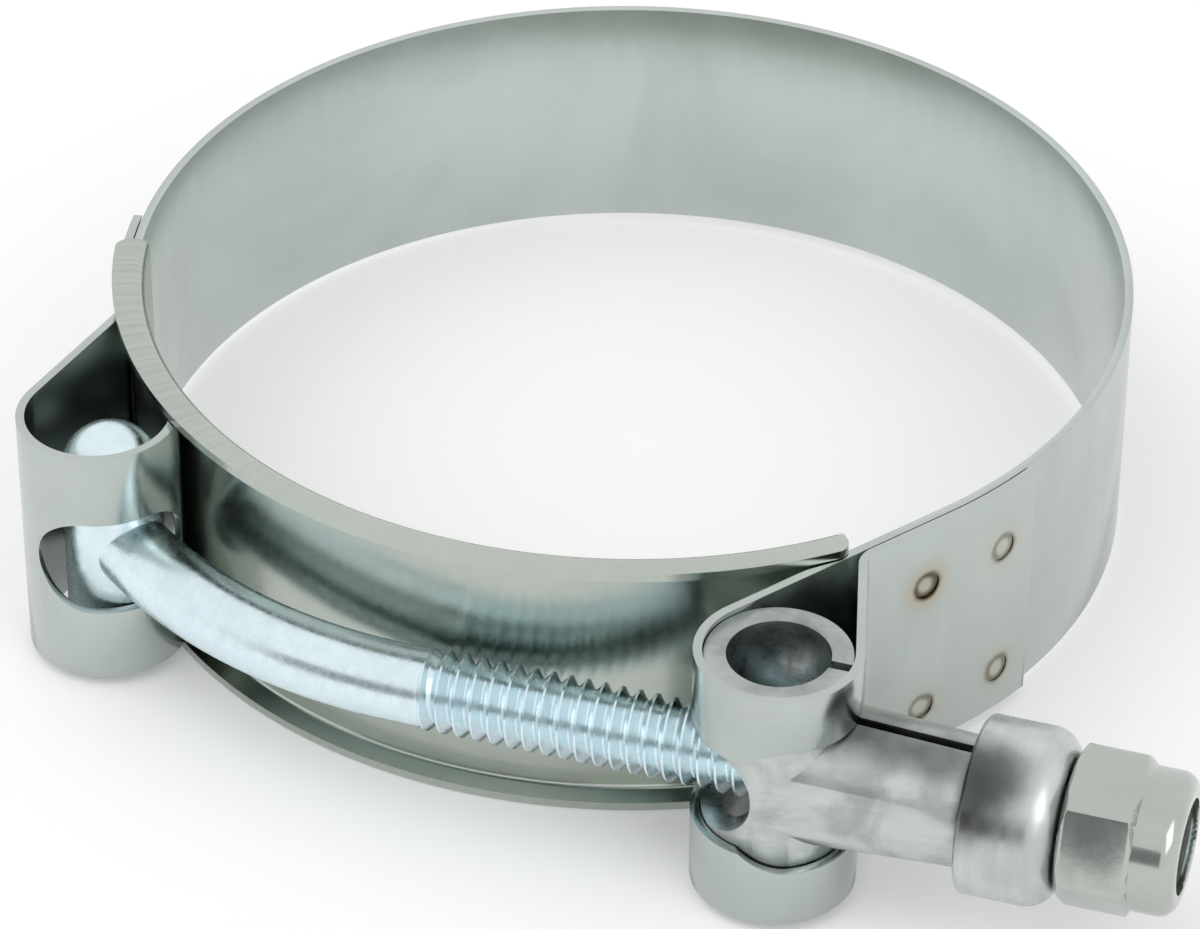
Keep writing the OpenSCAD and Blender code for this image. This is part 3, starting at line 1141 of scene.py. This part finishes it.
COLLAR_STEEL = MetalFinish(
    "collar_steel", (0.61, 0.645, 0.63), (0.41, 0.45, 0.43), 0.31,
    stretch=(1800.0, 90.0, 90.0), marks_share=0.14, marks_depth=0.03,
    smudge_scale=190.0, smudge_share=0.6,
    # Painted reflection: two dark patches on the collar's upper left stand in for the dark surroundings
    # mirrored there
    patches=(
        along_bolt(14.2, -4.4, 4.4, 0.9, 6.0),
        along_bolt(16.4, -3.0, 5.6, 0.7, 3.8),
    ),
)
NUT_ZINC = MetalFinish(
    "nut_zinc", (0.48, 0.51, 0.48), (0.405, 0.435, 0.415), 0.15, rough_span=0.05,
    stretch=(700.0, 700.0, 700.0), marks_share=0.08, marks_depth=0.03,
)
INSERT_NYLON = NylonFinish("insert_nylon", (0.05, 0.05, 0.04), (0.10, 0.10, 0.07))


def dress(piece: bpy.types.Object, finish: MetalFinish | NylonFinish) -> None:
    """Gives a piece its finish, in place of any other."""
    piece.data.materials.clear()
    piece.data.materials.append(finish.material())


@dataclass
class Band:
    """The strip ring with a loop at each end."""

    plan: ClampPlan = PLAN
    finish: WeldedFinish = BAND_STEEL
    edge_round: float = 0.1
    slot_short: float = 0.02
    arc_steps: int = 180
    loop_steps: int = 56
    bend_steps: int = 12
    right_steps: int = 10
    left_steps: int = 14
    slot_steps: int = 40
    weld_sides: int = 40

    def sheet(self) -> bpy.types.Object:
        """Bends the strip at mid-thickness, from the end of the right tail to the end of the left one.

        Returns:
            The open sheet.
        """
        right, left = StripEnd(Side.RIGHT), StripEnd(Side.LEFT)
        up = Vector((0, 0, self.plan.band_w * MM))
        start = polar(self.plan.tail_r, right.end_angle) * MM - up / 2
        piece = point("band", start)
        with editing(piece):
            bpy.ops.mesh.select_all(action="SELECT")
            draw_run(up)
            bpy.ops.mesh.select_all(action="SELECT")
            draw_arc(HUB, -right.tail_arc, self.right_steps)
            draw_run(right.placed(Vector((0, right.on_run, 0))))
            draw_arc(right.placed(right.bend_at), right.leave - right.on_ring, self.bend_steps)
            draw_run(-right.placed(polar(right.wall, right.leave + 90)))
            draw_arc(right.placed(right.loop_at), -180 - right.leave, self.loop_steps)
            draw_run(right.placed(Vector((0, right.run, 0))))
            draw_arc(HUB, self.plan.left_touch - self.plan.right_leave, self.arc_steps)
            draw_arc(left.placed(left.loop_at), -180 - left.leave, self.loop_steps)
            draw_run(left.placed(polar(left.wall, left.leave + 90)))
            draw_arc(left.placed(left.bend_at), left.leave - left.on_ring, self.bend_steps)
            draw_arc(HUB, -left.tail_arc, self.left_steps)
        return piece

    def slot_middle(self, at: Vector, height: float, start: float, end: float) -> bpy.types.Object:
        """Makes the tool that cuts the middle of a slot around a loop.

        Args:
            at: the loop's axis in millimetres.
            height: height of the slot in millimetres.
            start: angle at which it starts, in degrees.
            end: angle at which it ends, in degrees.

        Returns:
            The closed tool.
        """
        inner = self.plan.loop_r - OVER
        piece = point("slot_tool", (at + polar(inner, start)) * MM - Vector((0, 0, height / 2 * MM)))
        with editing(piece):
            bpy.ops.mesh.select_all(action="SELECT")
            draw_run(polar(2 * OVER, start) * MM)
            bpy.ops.mesh.select_all(action="SELECT")
            draw_run(Vector((0, 0, height * MM)))
            bpy.ops.mesh.select_all(action="SELECT")
            draw_arc(at * MM, end - start, self.slot_steps)
        outward(piece)
        return piece

    def cut_slots(self, piece: bpy.types.Object) -> None:
        """Cuts the bolt's slot in each loop.

        Args:
            piece: the strip.
        """
        plan = self.plan
        reach = plan.loop_r + OVER
        left_from = -plan.shank_angle - plan.left_slot_reach
        holes = [
            (plan.left_loop, plan.left_slot_h, left_from),
            (plan.left_loop, plan.left_slot_h, -plan.shank_angle),
            (plan.right_loop, plan.right_slot_h, -plan.right_slot_reach),
            (plan.right_loop, plan.right_slot_h, 0.0),
            (plan.right_loop, plan.entry_slot_h, -180.0),
        ]
        for at, height, angle in holes:
            combine(piece, rod("slot_tool", at, polar(1.0, angle), reach, height), "DIFFERENCE")
        middles = [
            (plan.left_loop, plan.left_slot_h, left_from, -plan.shank_angle),
            (plan.right_loop, plan.right_slot_h, -plan.right_slot_reach, 0.0),
            (plan.right_loop, plan.entry_slot_h, -180.0, -plan.right_slot_reach),
        ]
        for at, height, start, end in middles:
            combine(piece, self.slot_middle(at, height - self.slot_short, start, end), "DIFFERENCE")

    def build(self) -> bpy.types.Object:
        """Makes the strip with its thickness, slots, rounded edges and finish.

        Returns:
            The finished piece.
        """
        piece = self.sheet()
        modify(piece, "SOLIDIFY", thickness=self.plan.band_t * MM, offset=0.0, use_even_offset=True)
        outward(piece)
        self.cut_slots(piece)
        soften(piece, self.edge_round)
        self.press_welds(piece)
        stand_for(piece, "band", "band")
        dress(piece, self.finish)
        return piece

    def press_welds(self, piece: bpy.types.Object) -> None:
        """Presses the shallow round marks of the spot welds into the tails.

        Args:
            piece: the strip.
        """
        for end in (StripEnd(Side.RIGHT), StripEnd(Side.LEFT)):
            for place in end.weld_places():
                outwards = Vector((place.x, place.y, 0.0)).normalized()
                start = place - outwards * self.plan.weld_dimple
                tool = rod("weld_tool", start, outwards, OVER, self.plan.weld_d, self.weld_sides)
                combine(piece, tool, "DIFFERENCE")
        soften(piece, 0.0)


@dataclass
class Bridge:
    """The channel that lines the ring between the loops."""

    plan: ClampPlan = PLAN
    finish: FlangedFinish = BRIDGE_STEEL
    edge_round: float = 0.1
    arc_steps: int = 90
    bend_steps: int = 6
    tongue_steps: int = 12

    def section(self) -> bpy.types.Object:
        """Draws the channel's section at mid-thickness, where the flanges start.

        Returns:
            The open outline.
        """
        plan = self.plan
        radial, tangent = polar(1.0, plan.flange_from), polar(1.0, plan.flange_from + 90)
        rounding = plan.flange_bend + plan.bridge_t
        web, tongue = plan.bridge_h - rounding, plan.tongue_w / 2
        flange = (plan.flange_w - rounding) * MM * radial
        middle = (plan.hose_r + rounding) * radial
        piece = point("bridge", (middle - Z_AXIS * (plan.bridge_h - plan.bridge_t / 2)) * MM + flange)
        with editing(piece):
            bpy.ops.mesh.select_all(action="SELECT")
            draw_run(-flange)
            draw_arc((middle - Z_AXIS * web) * MM, 90.0, self.bend_steps, tangent)
            for step in (web - tongue, 2 * tongue, web - tongue):
                draw_run(Z_AXIS * step * MM)
            draw_arc((middle + Z_AXIS * web) * MM, 90.0, self.bend_steps, tangent)
            draw_run(flange)
        return piece

    def sheet(self) -> bpy.types.Object:
        """Sweeps the section round the hose and adds the narrow tongue past its right end.

        Returns:
            The open sheet.
        """
        plan = self.plan
        piece = self.section()
        with editing(piece):
            bpy.ops.mesh.select_all(action="SELECT")
            draw_arc(HUB, plan.flange_to - plan.flange_from, self.arc_steps)
        edge = polar(plan.hose_r + plan.bridge_t / 2, plan.flange_to) * MM
        reach = plan.tongue_w / 2 * MM + SAME_PLACE
        mark(piece, lambda co: (Vector((co.x, co.y, 0)) - edge).length < SAME_PLACE and abs(co.z) < reach)
        with editing(piece):
            draw_arc(HUB, plan.tongue_to - plan.flange_to, self.tongue_steps)
        return piece

    def round_corners(self, piece: bpy.types.Object) -> None:
        """Rounds the corners of the flanges and of the tongue.

        Args:
            piece: the channel.
        """
        plan = self.plan
        flange_r = plan.hose_r + plan.flange_w
        for angle, turn in ((plan.flange_from, 1), (plan.flange_to, -1)):
            radial, tangent = polar(1.0, angle), polar(float(turn), angle + 90)
            tool = corner_tool(radial * flange_r, -radial, tangent, plan.flange_corner, 4 * plan.bridge_h)
            combine(piece, tool, "DIFFERENCE")
        radial, tangent = polar(1.0, plan.tongue_to), polar(1.0, plan.tongue_to - 90)
        for side in (-1, 1):
            at = radial * (plan.hose_r + plan.bridge_t / 2) + Z_AXIS * side * plan.tongue_w / 2
            tool = corner_tool(at, tangent, -side * Z_AXIS, plan.tongue_corner, 2 * OVER)
            combine(piece, tool, "DIFFERENCE")

    def build(self) -> bpy.types.Object:
        """Makes the channel with its thickness, rounded edges and finish.

        Returns:
            The finished piece.
        """
        piece = self.sheet()
        modify(piece, "SOLIDIFY", thickness=self.plan.bridge_t * MM, offset=0.0, use_even_offset=True)
        outward(piece)
        self.round_corners(piece)
        soften(piece, self.edge_round)
        stand_for(piece, "bridge", "band")
        dress(piece, self.finish)
        return piece


@dataclass
class TBolt:
    """The bent bolt with its cross head and its thread."""

    plan: ClampPlan = PLAN
    finish: MetalFinish = BOLT_ZINC
    neck_round: float = 0.45
    neck_angle: float = 30.0
    neck_steps: int = 3
    crest_round: float = 0.05
    taper_l: float = 1.0
    dome_steps: int = 10
    shank_sides: int = 72
    bend_steps: int = 28
    thread_steps: int = 40
    thread_angle: float = 25.0

    def head(self) -> bpy.types.Object:
        """Turns the domed cross head.

        Returns:
            The closed head.
        """
        plan = self.plan
        dome_r = ((plan.head_d / 2) ** 2 + plan.head_dome ** 2) / (2 * plan.head_dome)
        rim = math.degrees(math.asin(plan.head_d / 2 / dome_r))
        middle = plan.head_l / 2 - dome_r
        outline = arc_points(-middle, 0.0, dome_r, 180.0, 180.0 - rim, self.dome_steps)
        outline += arc_points(middle, 0.0, dome_r, rim, 0.0, self.dome_steps)
        return turned("t_bolt", plan.head_at, Z_AXIS, X_AXIS, outline)

    def shank(self) -> bpy.types.Object:
        """Sweeps the round shank from the head to the thread, ending in a taper.

        Returns:
            The closed shank.
        """
        plan = self.plan
        along = polar(1.0, -plan.shank_angle)
        facing = along.to_track_quat("Z", "Y").to_euler()
        deselect()
        bpy.ops.mesh.primitive_circle_add(vertices=self.shank_sides, radius=plan.shank_d / 2 * MM,
                                          fill_type="NGON", location=plan.head_at * MM, rotation=facing)
        piece = named("shank")
        settle(piece)
        bend = mm(plan.bend_x, plan.bolt_y + plan.bend_r)
        taper = mm(plan.thread_x + self.taper_l, plan.bolt_y)
        narrow = (plan.thread_d - 2 * plan.thread_depth) / plan.shank_d
        with editing(piece, "FACE"):
            bpy.ops.mesh.select_all(action="SELECT")
            draw_run(along * plan.neck_l * MM)
            draw_arc(bend, plan.shank_angle, self.bend_steps)
            draw_run(X_AXIS * plan.plain_l * MM)
            draw_run(X_AXIS * self.taper_l * MM)
            bpy.ops.transform.resize(value=(1.0, narrow, narrow), center_override=taper)
        outward(piece)
        return piece

    def thread(self) -> bpy.types.Object:
        """Winds the thread as a helix and trims its end to a chamfer.

        Returns:
            The closed thread.
        """
        plan = self.plan
        crest, root = plan.thread_d / 2, plan.thread_d / 2 - plan.thread_depth
        pitch, flat, soft = plan.thread_pitch, plan.thread_flat / 2, self.crest_round
        length = plan.bolt_end - plan.thread_x
        turns = math.ceil(length / pitch) + 2
        rising = [(pitch / 2 - flat - soft, crest - 2 * soft), (pitch / 2 - flat, crest)]
        falling = [(pitch / 2 + flat, crest), (pitch / 2 + flat + soft, crest - 2 * soft)]
        ridge = [(0.0, root), (flat, root), *rising, *falling, (pitch - flat, root), (pitch, root)]
        places = [mm(r, 0.0, s - pitch) for s, r in ridge]
        piece = point("thread", places[0])
        with editing(piece):
            bpy.ops.mesh.select_all(action="SELECT")
            for before, after in zip(places, places[1:]):
                draw_run(after - before)
        modify(piece, "SCREW", axis="Z", angle=math.tau, screw_offset=pitch * MM, iterations=turns,
               steps=self.thread_steps, render_steps=self.thread_steps, use_merge_vertices=False)
        with editing(piece):
            bpy.ops.mesh.select_all(action="SELECT")
            bpy.ops.mesh.remove_doubles(threshold=MERGE)
            for height, upper in ((0.0, False), (length, True)):
                bpy.ops.mesh.select_all(action="SELECT")
                bpy.ops.mesh.bisect(plane_co=mm(0, 0, height), plane_no=Z_AXIS, use_fill=True,
                                    clear_inner=not upper, clear_outer=upper, threshold=CUT)
        outward(piece)
        end = root - plan.thread_chamfer / 2
        trim = [(-OVER, 0.0), (-OVER, crest + OVER), (length - crest - OVER + end, crest + OVER)]
        trim += [(length, end), (length, 0.0)]
        combine(piece, turned("trim", HUB, Z_AXIS, X_AXIS, trim), "INTERSECT")
        piece.rotation_euler = (0.0, math.pi / 2, 0.0)
        piece.location = mm(plan.thread_x, plan.bolt_y)
        settle(piece)
        soften(piece, 0.0, self.thread_angle)
        return piece

    def build(self) -> bpy.types.Object:
        """Makes the bolt from its head, shank and thread, and plates it.

        Returns:
            The finished piece.
        """
        piece = self.head()
        combine(piece, self.shank(), "UNION")
        soften(piece, self.neck_round, self.neck_angle, self.neck_steps)
        join(piece, [self.thread()])
        stand_for(piece, "t_bolt", "t_bolt")
        dress(piece, self.finish)
        return piece


@dataclass
class Trunnion:
    """The rolled trunnion: an upright split tube with a split sleeve."""

    plan: ClampPlan = PLAN
    finish: MetalFinish = TRUNNION_STEEL
    edge_round: float = 0.16
    facets: int = 128

    def build(self) -> bpy.types.Object:
        """Makes the trunnion from tube and sleeve, bores it and dresses it.

        Returns:
            The finished piece.
        """
        plan = self.plan
        at, tube_h = plan.right_loop, plan.band_w - 2 * plan.tube_short
        piece = rod("trunnion", at - Z_AXIS * tube_h / 2, Z_AXIS, tube_h, plan.tube_d, self.facets)
        start = math.sqrt((plan.tube_d / 2) ** 2 - plan.root_l ** 2)
        taper = [(-plan.root_l, 0.0), (-plan.root_l, start - plan.root_depth)]
        taper += [(0.0, plan.tube_d / 2 + plan.root_rise)]
        taper += [(plan.sleeve_l, plan.sleeve_d / 2), (plan.sleeve_l, 0.0)]
        combine(piece, turned("sleeve", at, X_AXIS, Z_AXIS, taper, self.facets), "UNION")
        bore = plan.tube_d - 2 * plan.tube_wall
        combine(piece, rod("bore", at - Z_AXIS * tube_h, Z_AXIS, 2 * tube_h, bore, self.facets), "DIFFERENCE")
        inner = plan.sleeve_d - 2 * plan.sleeve_wall
        combine(piece, rod("inner", at, X_AXIS, plan.sleeve_l + OVER, inner, self.facets), "DIFFERENCE")
        hole = at - X_AXIS * (plan.entry_stop + plan.entry_d / 2) - Y_AXIS * plan.tube_d
        combine(piece, rod("entry", hole, Y_AXIS, 2 * plan.tube_d, plan.entry_d, self.facets), "DIFFERENCE")
        seam = Vector((plan.sleeve_l + OVER, plan.seam_w, tube_h + 2 * OVER))
        combine(piece, block("seam", at + X_AXIS * seam.x / 2, seam), "DIFFERENCE")
        soften(piece, self.edge_round)
        stand_for(piece, "trunnion", "trunnion")
        dress(piece, self.finish)
        return piece


@dataclass
class Collar:
    """The thick ring between sleeve and nut."""

    plan: ClampPlan = PLAN
    finish: MetalFinish = COLLAR_STEEL
    edge_round: float = 0.12
    shoulder_steps: int = 12
    facets: int = 128

    def build(self) -> bpy.types.Object:
        """Turns the collar and dresses it.

        Returns:
            The finished piece.
        """
        plan = self.plan
        bore, rim = plan.thread_d / 2 + plan.collar_play, plan.collar_d / 2
        shoulder = plan.collar_shoulder
        outline = [(0.0, bore), (0.0, rim - plan.collar_edge), (plan.collar_edge, rim)]
        outline += arc_points(plan.collar_l - shoulder, rim - shoulder, shoulder, 90.0, 0.0,
                              self.shoulder_steps)
        outline += [(plan.collar_l, bore), (0.0, bore)]
        start = Vector((plan.collar_x, plan.bolt_y, 0))
        piece = turned("collar", start, X_AXIS, Z_AXIS, outline, self.facets)
        soften(piece, self.edge_round)
        stand_for(piece, "collar", "collar")
        dress(piece, self.finish)
        return piece


@dataclass
class LockNut:
    """The hexagon nut with its domed round part."""

    plan: ClampPlan = PLAN
    finish: MetalFinish = NUT_ZINC
    hex_sides: int = 6
    hex_round: float = 0.45
    hex_steps: int = 5
    trim_past: float = 0.2
    crown_steps: int = 10
    edge_round: float = 0.1
    edge_angle: float = 25.0
    edge_steps: int = 3
    facets: int = 144

    def hexagon(self) -> bpy.types.Object:
        """Makes the six-sided part, with rounded edges and its corners turned off at both ends.

        Returns:
            The closed part.
        """
        plan, past = self.plan, self.trim_past
        corner = plan.nut_af / 2 / math.cos(math.pi / self.hex_sides)
        face = plan.nut_af / 2 - plan.face_inset
        slope = math.tan(math.radians(plan.corner_angle))
        drop = (corner - face) * slope
        piece = rod("lock_nut", plan.nut_at, X_AXIS, plan.hex_l, 2 * corner, self.hex_sides, plan.nut_turned)
        soften(piece, self.hex_round, segments=self.hex_steps)
        low, high = (-past, face - past / slope), (drop + past * slope, corner + past)
        trim = [(low[0], 0.0), low, high]
        trim += [(plan.hex_l - s, r) for s, r in reversed(trim)]
        combine(piece, turned("trim", plan.nut_at, X_AXIS, Z_AXIS, trim, self.facets), "INTERSECT")
        return piece

    def bore(self, piece: bpy.types.Object) -> None:
        """Cuts the thread's bore, the insert's seat and the crown's mouth.

        Args:
            piece: the nut.
        """
        plan = self.plan
        wide = plan.thread_d + 2 * plan.nut_play
        combine(piece, rod("bore", plan.nut_at - X_AXIS, X_AXIS, plan.nut_l + 2 * OVER, wide), "DIFFERENCE")
        combine(piece, rod("seat", plan.insert_at, X_AXIS, plan.insert_l, plan.insert_d), "DIFFERENCE")
        mouth = plan.insert_d - 2 * plan.crown_lip
        combine(piece, rod("mouth", plan.insert_at + X_AXIS, X_AXIS, plan.nut_l, mouth), "DIFFERENCE")

    def build(self) -> bpy.types.Object:
        """Makes the nut without its insert, and plates it.

        Returns:
            The finished piece.
        """
        plan = self.plan
        piece = self.hexagon()
        rim, rounding, top = plan.nut_af / 2 - plan.crown_inset, plan.crown_round, plan.nut_l
        crown = [(plan.hex_l - OVER, 0.0), (plan.hex_l - OVER, rim)]
        crown += arc_points(top - rounding, rim - rounding, rounding, 90.0, 0.0, self.crown_steps)
        crown += [(top, 0.0)]
        combine(piece, turned("crown", plan.nut_at, X_AXIS, Z_AXIS, crown, self.facets), "UNION")
        self.bore(piece)
        soften(piece, self.edge_round, self.edge_angle, self.edge_steps)
        stand_for(piece, "lock_nut", "nut")
        dress(piece, self.finish)
        return piece


@dataclass
class NylonInsert:
    """The nylon ring in the nut's round part."""

    plan: ClampPlan = PLAN
    finish: NylonFinish = INSERT_NYLON
    edge_round: float = 0.08

    def build(self) -> bpy.types.Object:
        """Turns the ring and dresses it.

        Returns:
            The finished piece.
        """
        plan = self.plan
        bore, rim = plan.thread_d / 2 + plan.insert_play, plan.insert_d / 2
        outline = [(0.0, bore), (0.0, rim), (plan.insert_l, rim), (plan.insert_l, bore), (0.0, bore)]
        piece = turned("nylon_insert", plan.insert_at, X_AXIS, Z_AXIS, outline)
        soften(piece, self.edge_round)
        stand_for(piece, "nylon_insert", "nut")
        dress(piece, self.finish)
        return piece


@dataclass(frozen=True)
class PhotoCamera:
    """The camera of the photograph, with its place in millimetres and its depth of view in metres."""

    distance: float = 416.15
    elevation: float = 35.488
    yaw: float = 17.5
    roll: float = 0.528
    aside: float = -1.5
    lens: float = 161.5
    sensor: float = 36.0
    shift_x: float = -0.0246
    shift_y: float = -0.0652
    near: float = 0.01
    far: float = 20.0

    def build(self) -> bpy.types.Object:
        """Adds the camera and makes it the scene's own.

        Returns:
            The camera.
        """
        lift, roll = math.radians(self.elevation), math.radians(self.roll)
        back = Vector((0, -math.cos(lift), math.sin(lift)))
        up = Vector((0, math.sin(lift), math.cos(lift)))
        right = X_AXIS * math.cos(roll) + up * math.sin(roll)
        above = up * math.cos(roll) - X_AXIS * math.sin(roll)
        turn = Matrix.Rotation(math.radians(self.yaw), 3, "Z")
        place = turn @ (back * self.distance + Y_AXIS * self.aside)
        deselect()
        bpy.ops.object.camera_add()
        made = bpy.context.object
        axes = Matrix((turn @ right, turn @ above, turn @ back)).transposed()
        made.matrix_world = Matrix.Translation(place * MM) @ axes.to_4x4()
        made.data.lens = self.lens
        made.data.sensor_width = self.sensor
        made.data.shift_x, made.data.shift_y = self.shift_x, self.shift_y
        made.data.clip_start, made.data.clip_end = self.near, self.far
        bpy.context.scene.camera = made
        return made


@dataclass(frozen=True)
class Lamp:
    """One soft square lamp that shines at the clamp and may be kept out of the reflections."""

    name: str
    place: tuple[float, float, float]
    size: float
    power: float
    mirrored: bool = True

    def build(self) -> bpy.types.Object:
        """Adds the lamp.

        Returns:
            The lamp.
        """
        deselect()
        spot = Vector(self.place)
        facing = spot.to_track_quat("Z", "Y").to_euler()
        bpy.ops.object.light_add(type="AREA", location=spot, rotation=facing)
        made = bpy.context.object
        made.name = self.name
        made.data.shape = "SQUARE"
        made.data.size = self.size
        made.data.energy = self.power
        made.visible_glossy = self.mirrored
        return made


@dataclass(frozen=True)
class Card:
    """A grey card that only shows in the metal, as the dark side of the room does."""

    name: str
    place: tuple[float, float, float]
    size: tuple[float, float]
    grey: float

    def build(self) -> bpy.types.Object:
        """Adds the card, facing the clamp.

        Returns:
            The card.
        """
        deselect()
        spot = Vector(self.place)
        facing = spot.to_track_quat("Z", "Y").to_euler()
        bpy.ops.mesh.primitive_plane_add(size=1, location=spot, rotation=facing)
        made = named(self.name)
        made.scale = (*self.size, 1.0)
        paint, sheet = material_sheet(self.name)
        glow = sheet.add("ShaderNodeEmission", Color=WHITE, Strength=self.grey)
        sheet.add("ShaderNodeOutputMaterial", Surface=glow.outputs[0])
        made.data.materials.append(paint)
        made.visible_camera = made.visible_diffuse = made.visible_shadow = made.visible_transmission = False
        return made


@dataclass
class Studio:
    """Floor, world and lamps of the picture, in metres."""

    floor_z: float = -PLAN.bridge_h * MM
    floor_gap: float = 0.0001
    floor_size: float = 6.0
    floor_grey: float = 0.82
    floor_glow: float = 0.2
    sky_light: float = 0.78
    lamps: tuple[Lamp, ...] = (
        Lamp("key", (-0.7, -0.5, 1.1), 1.3, 5.6, mirrored=False),
        Lamp("fill", (0.9, -0.6, 0.7), 0.8, 2.4),
    )
    cards: tuple[Card, ...] = (
        Card("front_card", (-0.3, -1.1, 0.22), (1.1, 0.5), 0.28),
    )

    def floor(self) -> bpy.types.Object:
        """Adds the pale floor, which shows the shadow and is white where it has none.

        Returns:
            The floor.
        """
        deselect()
        bpy.ops.mesh.primitive_plane_add(size=self.floor_size, location=(0, 0, self.floor_z - self.floor_gap))
        made = named("floor")
        paint, sheet = material_sheet("floor")
        seen = self.seen(sheet, sheet.add("ShaderNodeLightPath"))
        grey = (self.floor_grey, self.floor_grey, self.floor_grey, 1)
        matt = sheet.add("ShaderNodeBsdfDiffuse", Color=grey)
        lit = sheet.math("MULTIPLY", seen, self.floor_glow)
        glow = sheet.add("ShaderNodeEmission", Color=WHITE, Strength=lit)
        both = sheet.add("ShaderNodeAddShader", i0=matt.outputs[0], i1=glow.outputs[0])
        sheet.add("ShaderNodeOutputMaterial", Surface=both.outputs[0])
        made.data.materials.append(paint)
        return made

    @staticmethod
    def seen(sheet: NodeSheet, path: bpy.types.Node) -> Socket:
        """Gives 1 for rays that show something and 0 for those that only light it."""
        mirror = sheet.math("ADD", path.outputs["Is Glossy Ray"], path.outputs["Is Transmission Ray"])
        return sheet.math("ADD", path.outputs["Is Camera Ray"], mirror, True)

    def sky(self) -> None:
        """Makes the world white to look at and a soft light for the rest."""
        world = bpy.data.worlds.new("studio")
        bpy.context.scene.world = world
        world.use_nodes = True
        sheet = NodeSheet(world.node_tree)
        seen = self.seen(sheet, sheet.add("ShaderNodeLightPath"))
        level = sheet.remap(seen, 0.0, 1.0, self.sky_light, 1.0)
        glow = sheet.add("ShaderNodeBackground", Color=WHITE, Strength=level)
        sheet.add("ShaderNodeOutputWorld", Surface=glow.outputs[0])

    def build(self) -> None:
        """Builds the whole studio."""
        self.sky()
        self.floor()
        for thing in (*self.lamps, *self.cards):
            thing.build()
        bpy.context.scene.view_settings.view_transform = "Standard"


def main() -> None:
    """Builds, dresses and lights the clamp, and reports each piece."""
    logging.basicConfig(level=logging.INFO, format="%(name)s %(message)s")
    for maker in (Band(), Bridge(), TBolt(), Trunnion(), Collar(), LockNut(), NylonInsert()):
        piece = maker.build()
        LOG.info("%s: %d faces, %s", piece.name, len(piece.data.polygons), maker.finish.name)
    Studio().build()
    PhotoCamera().build()


if __name__ == "__main__":
    main()
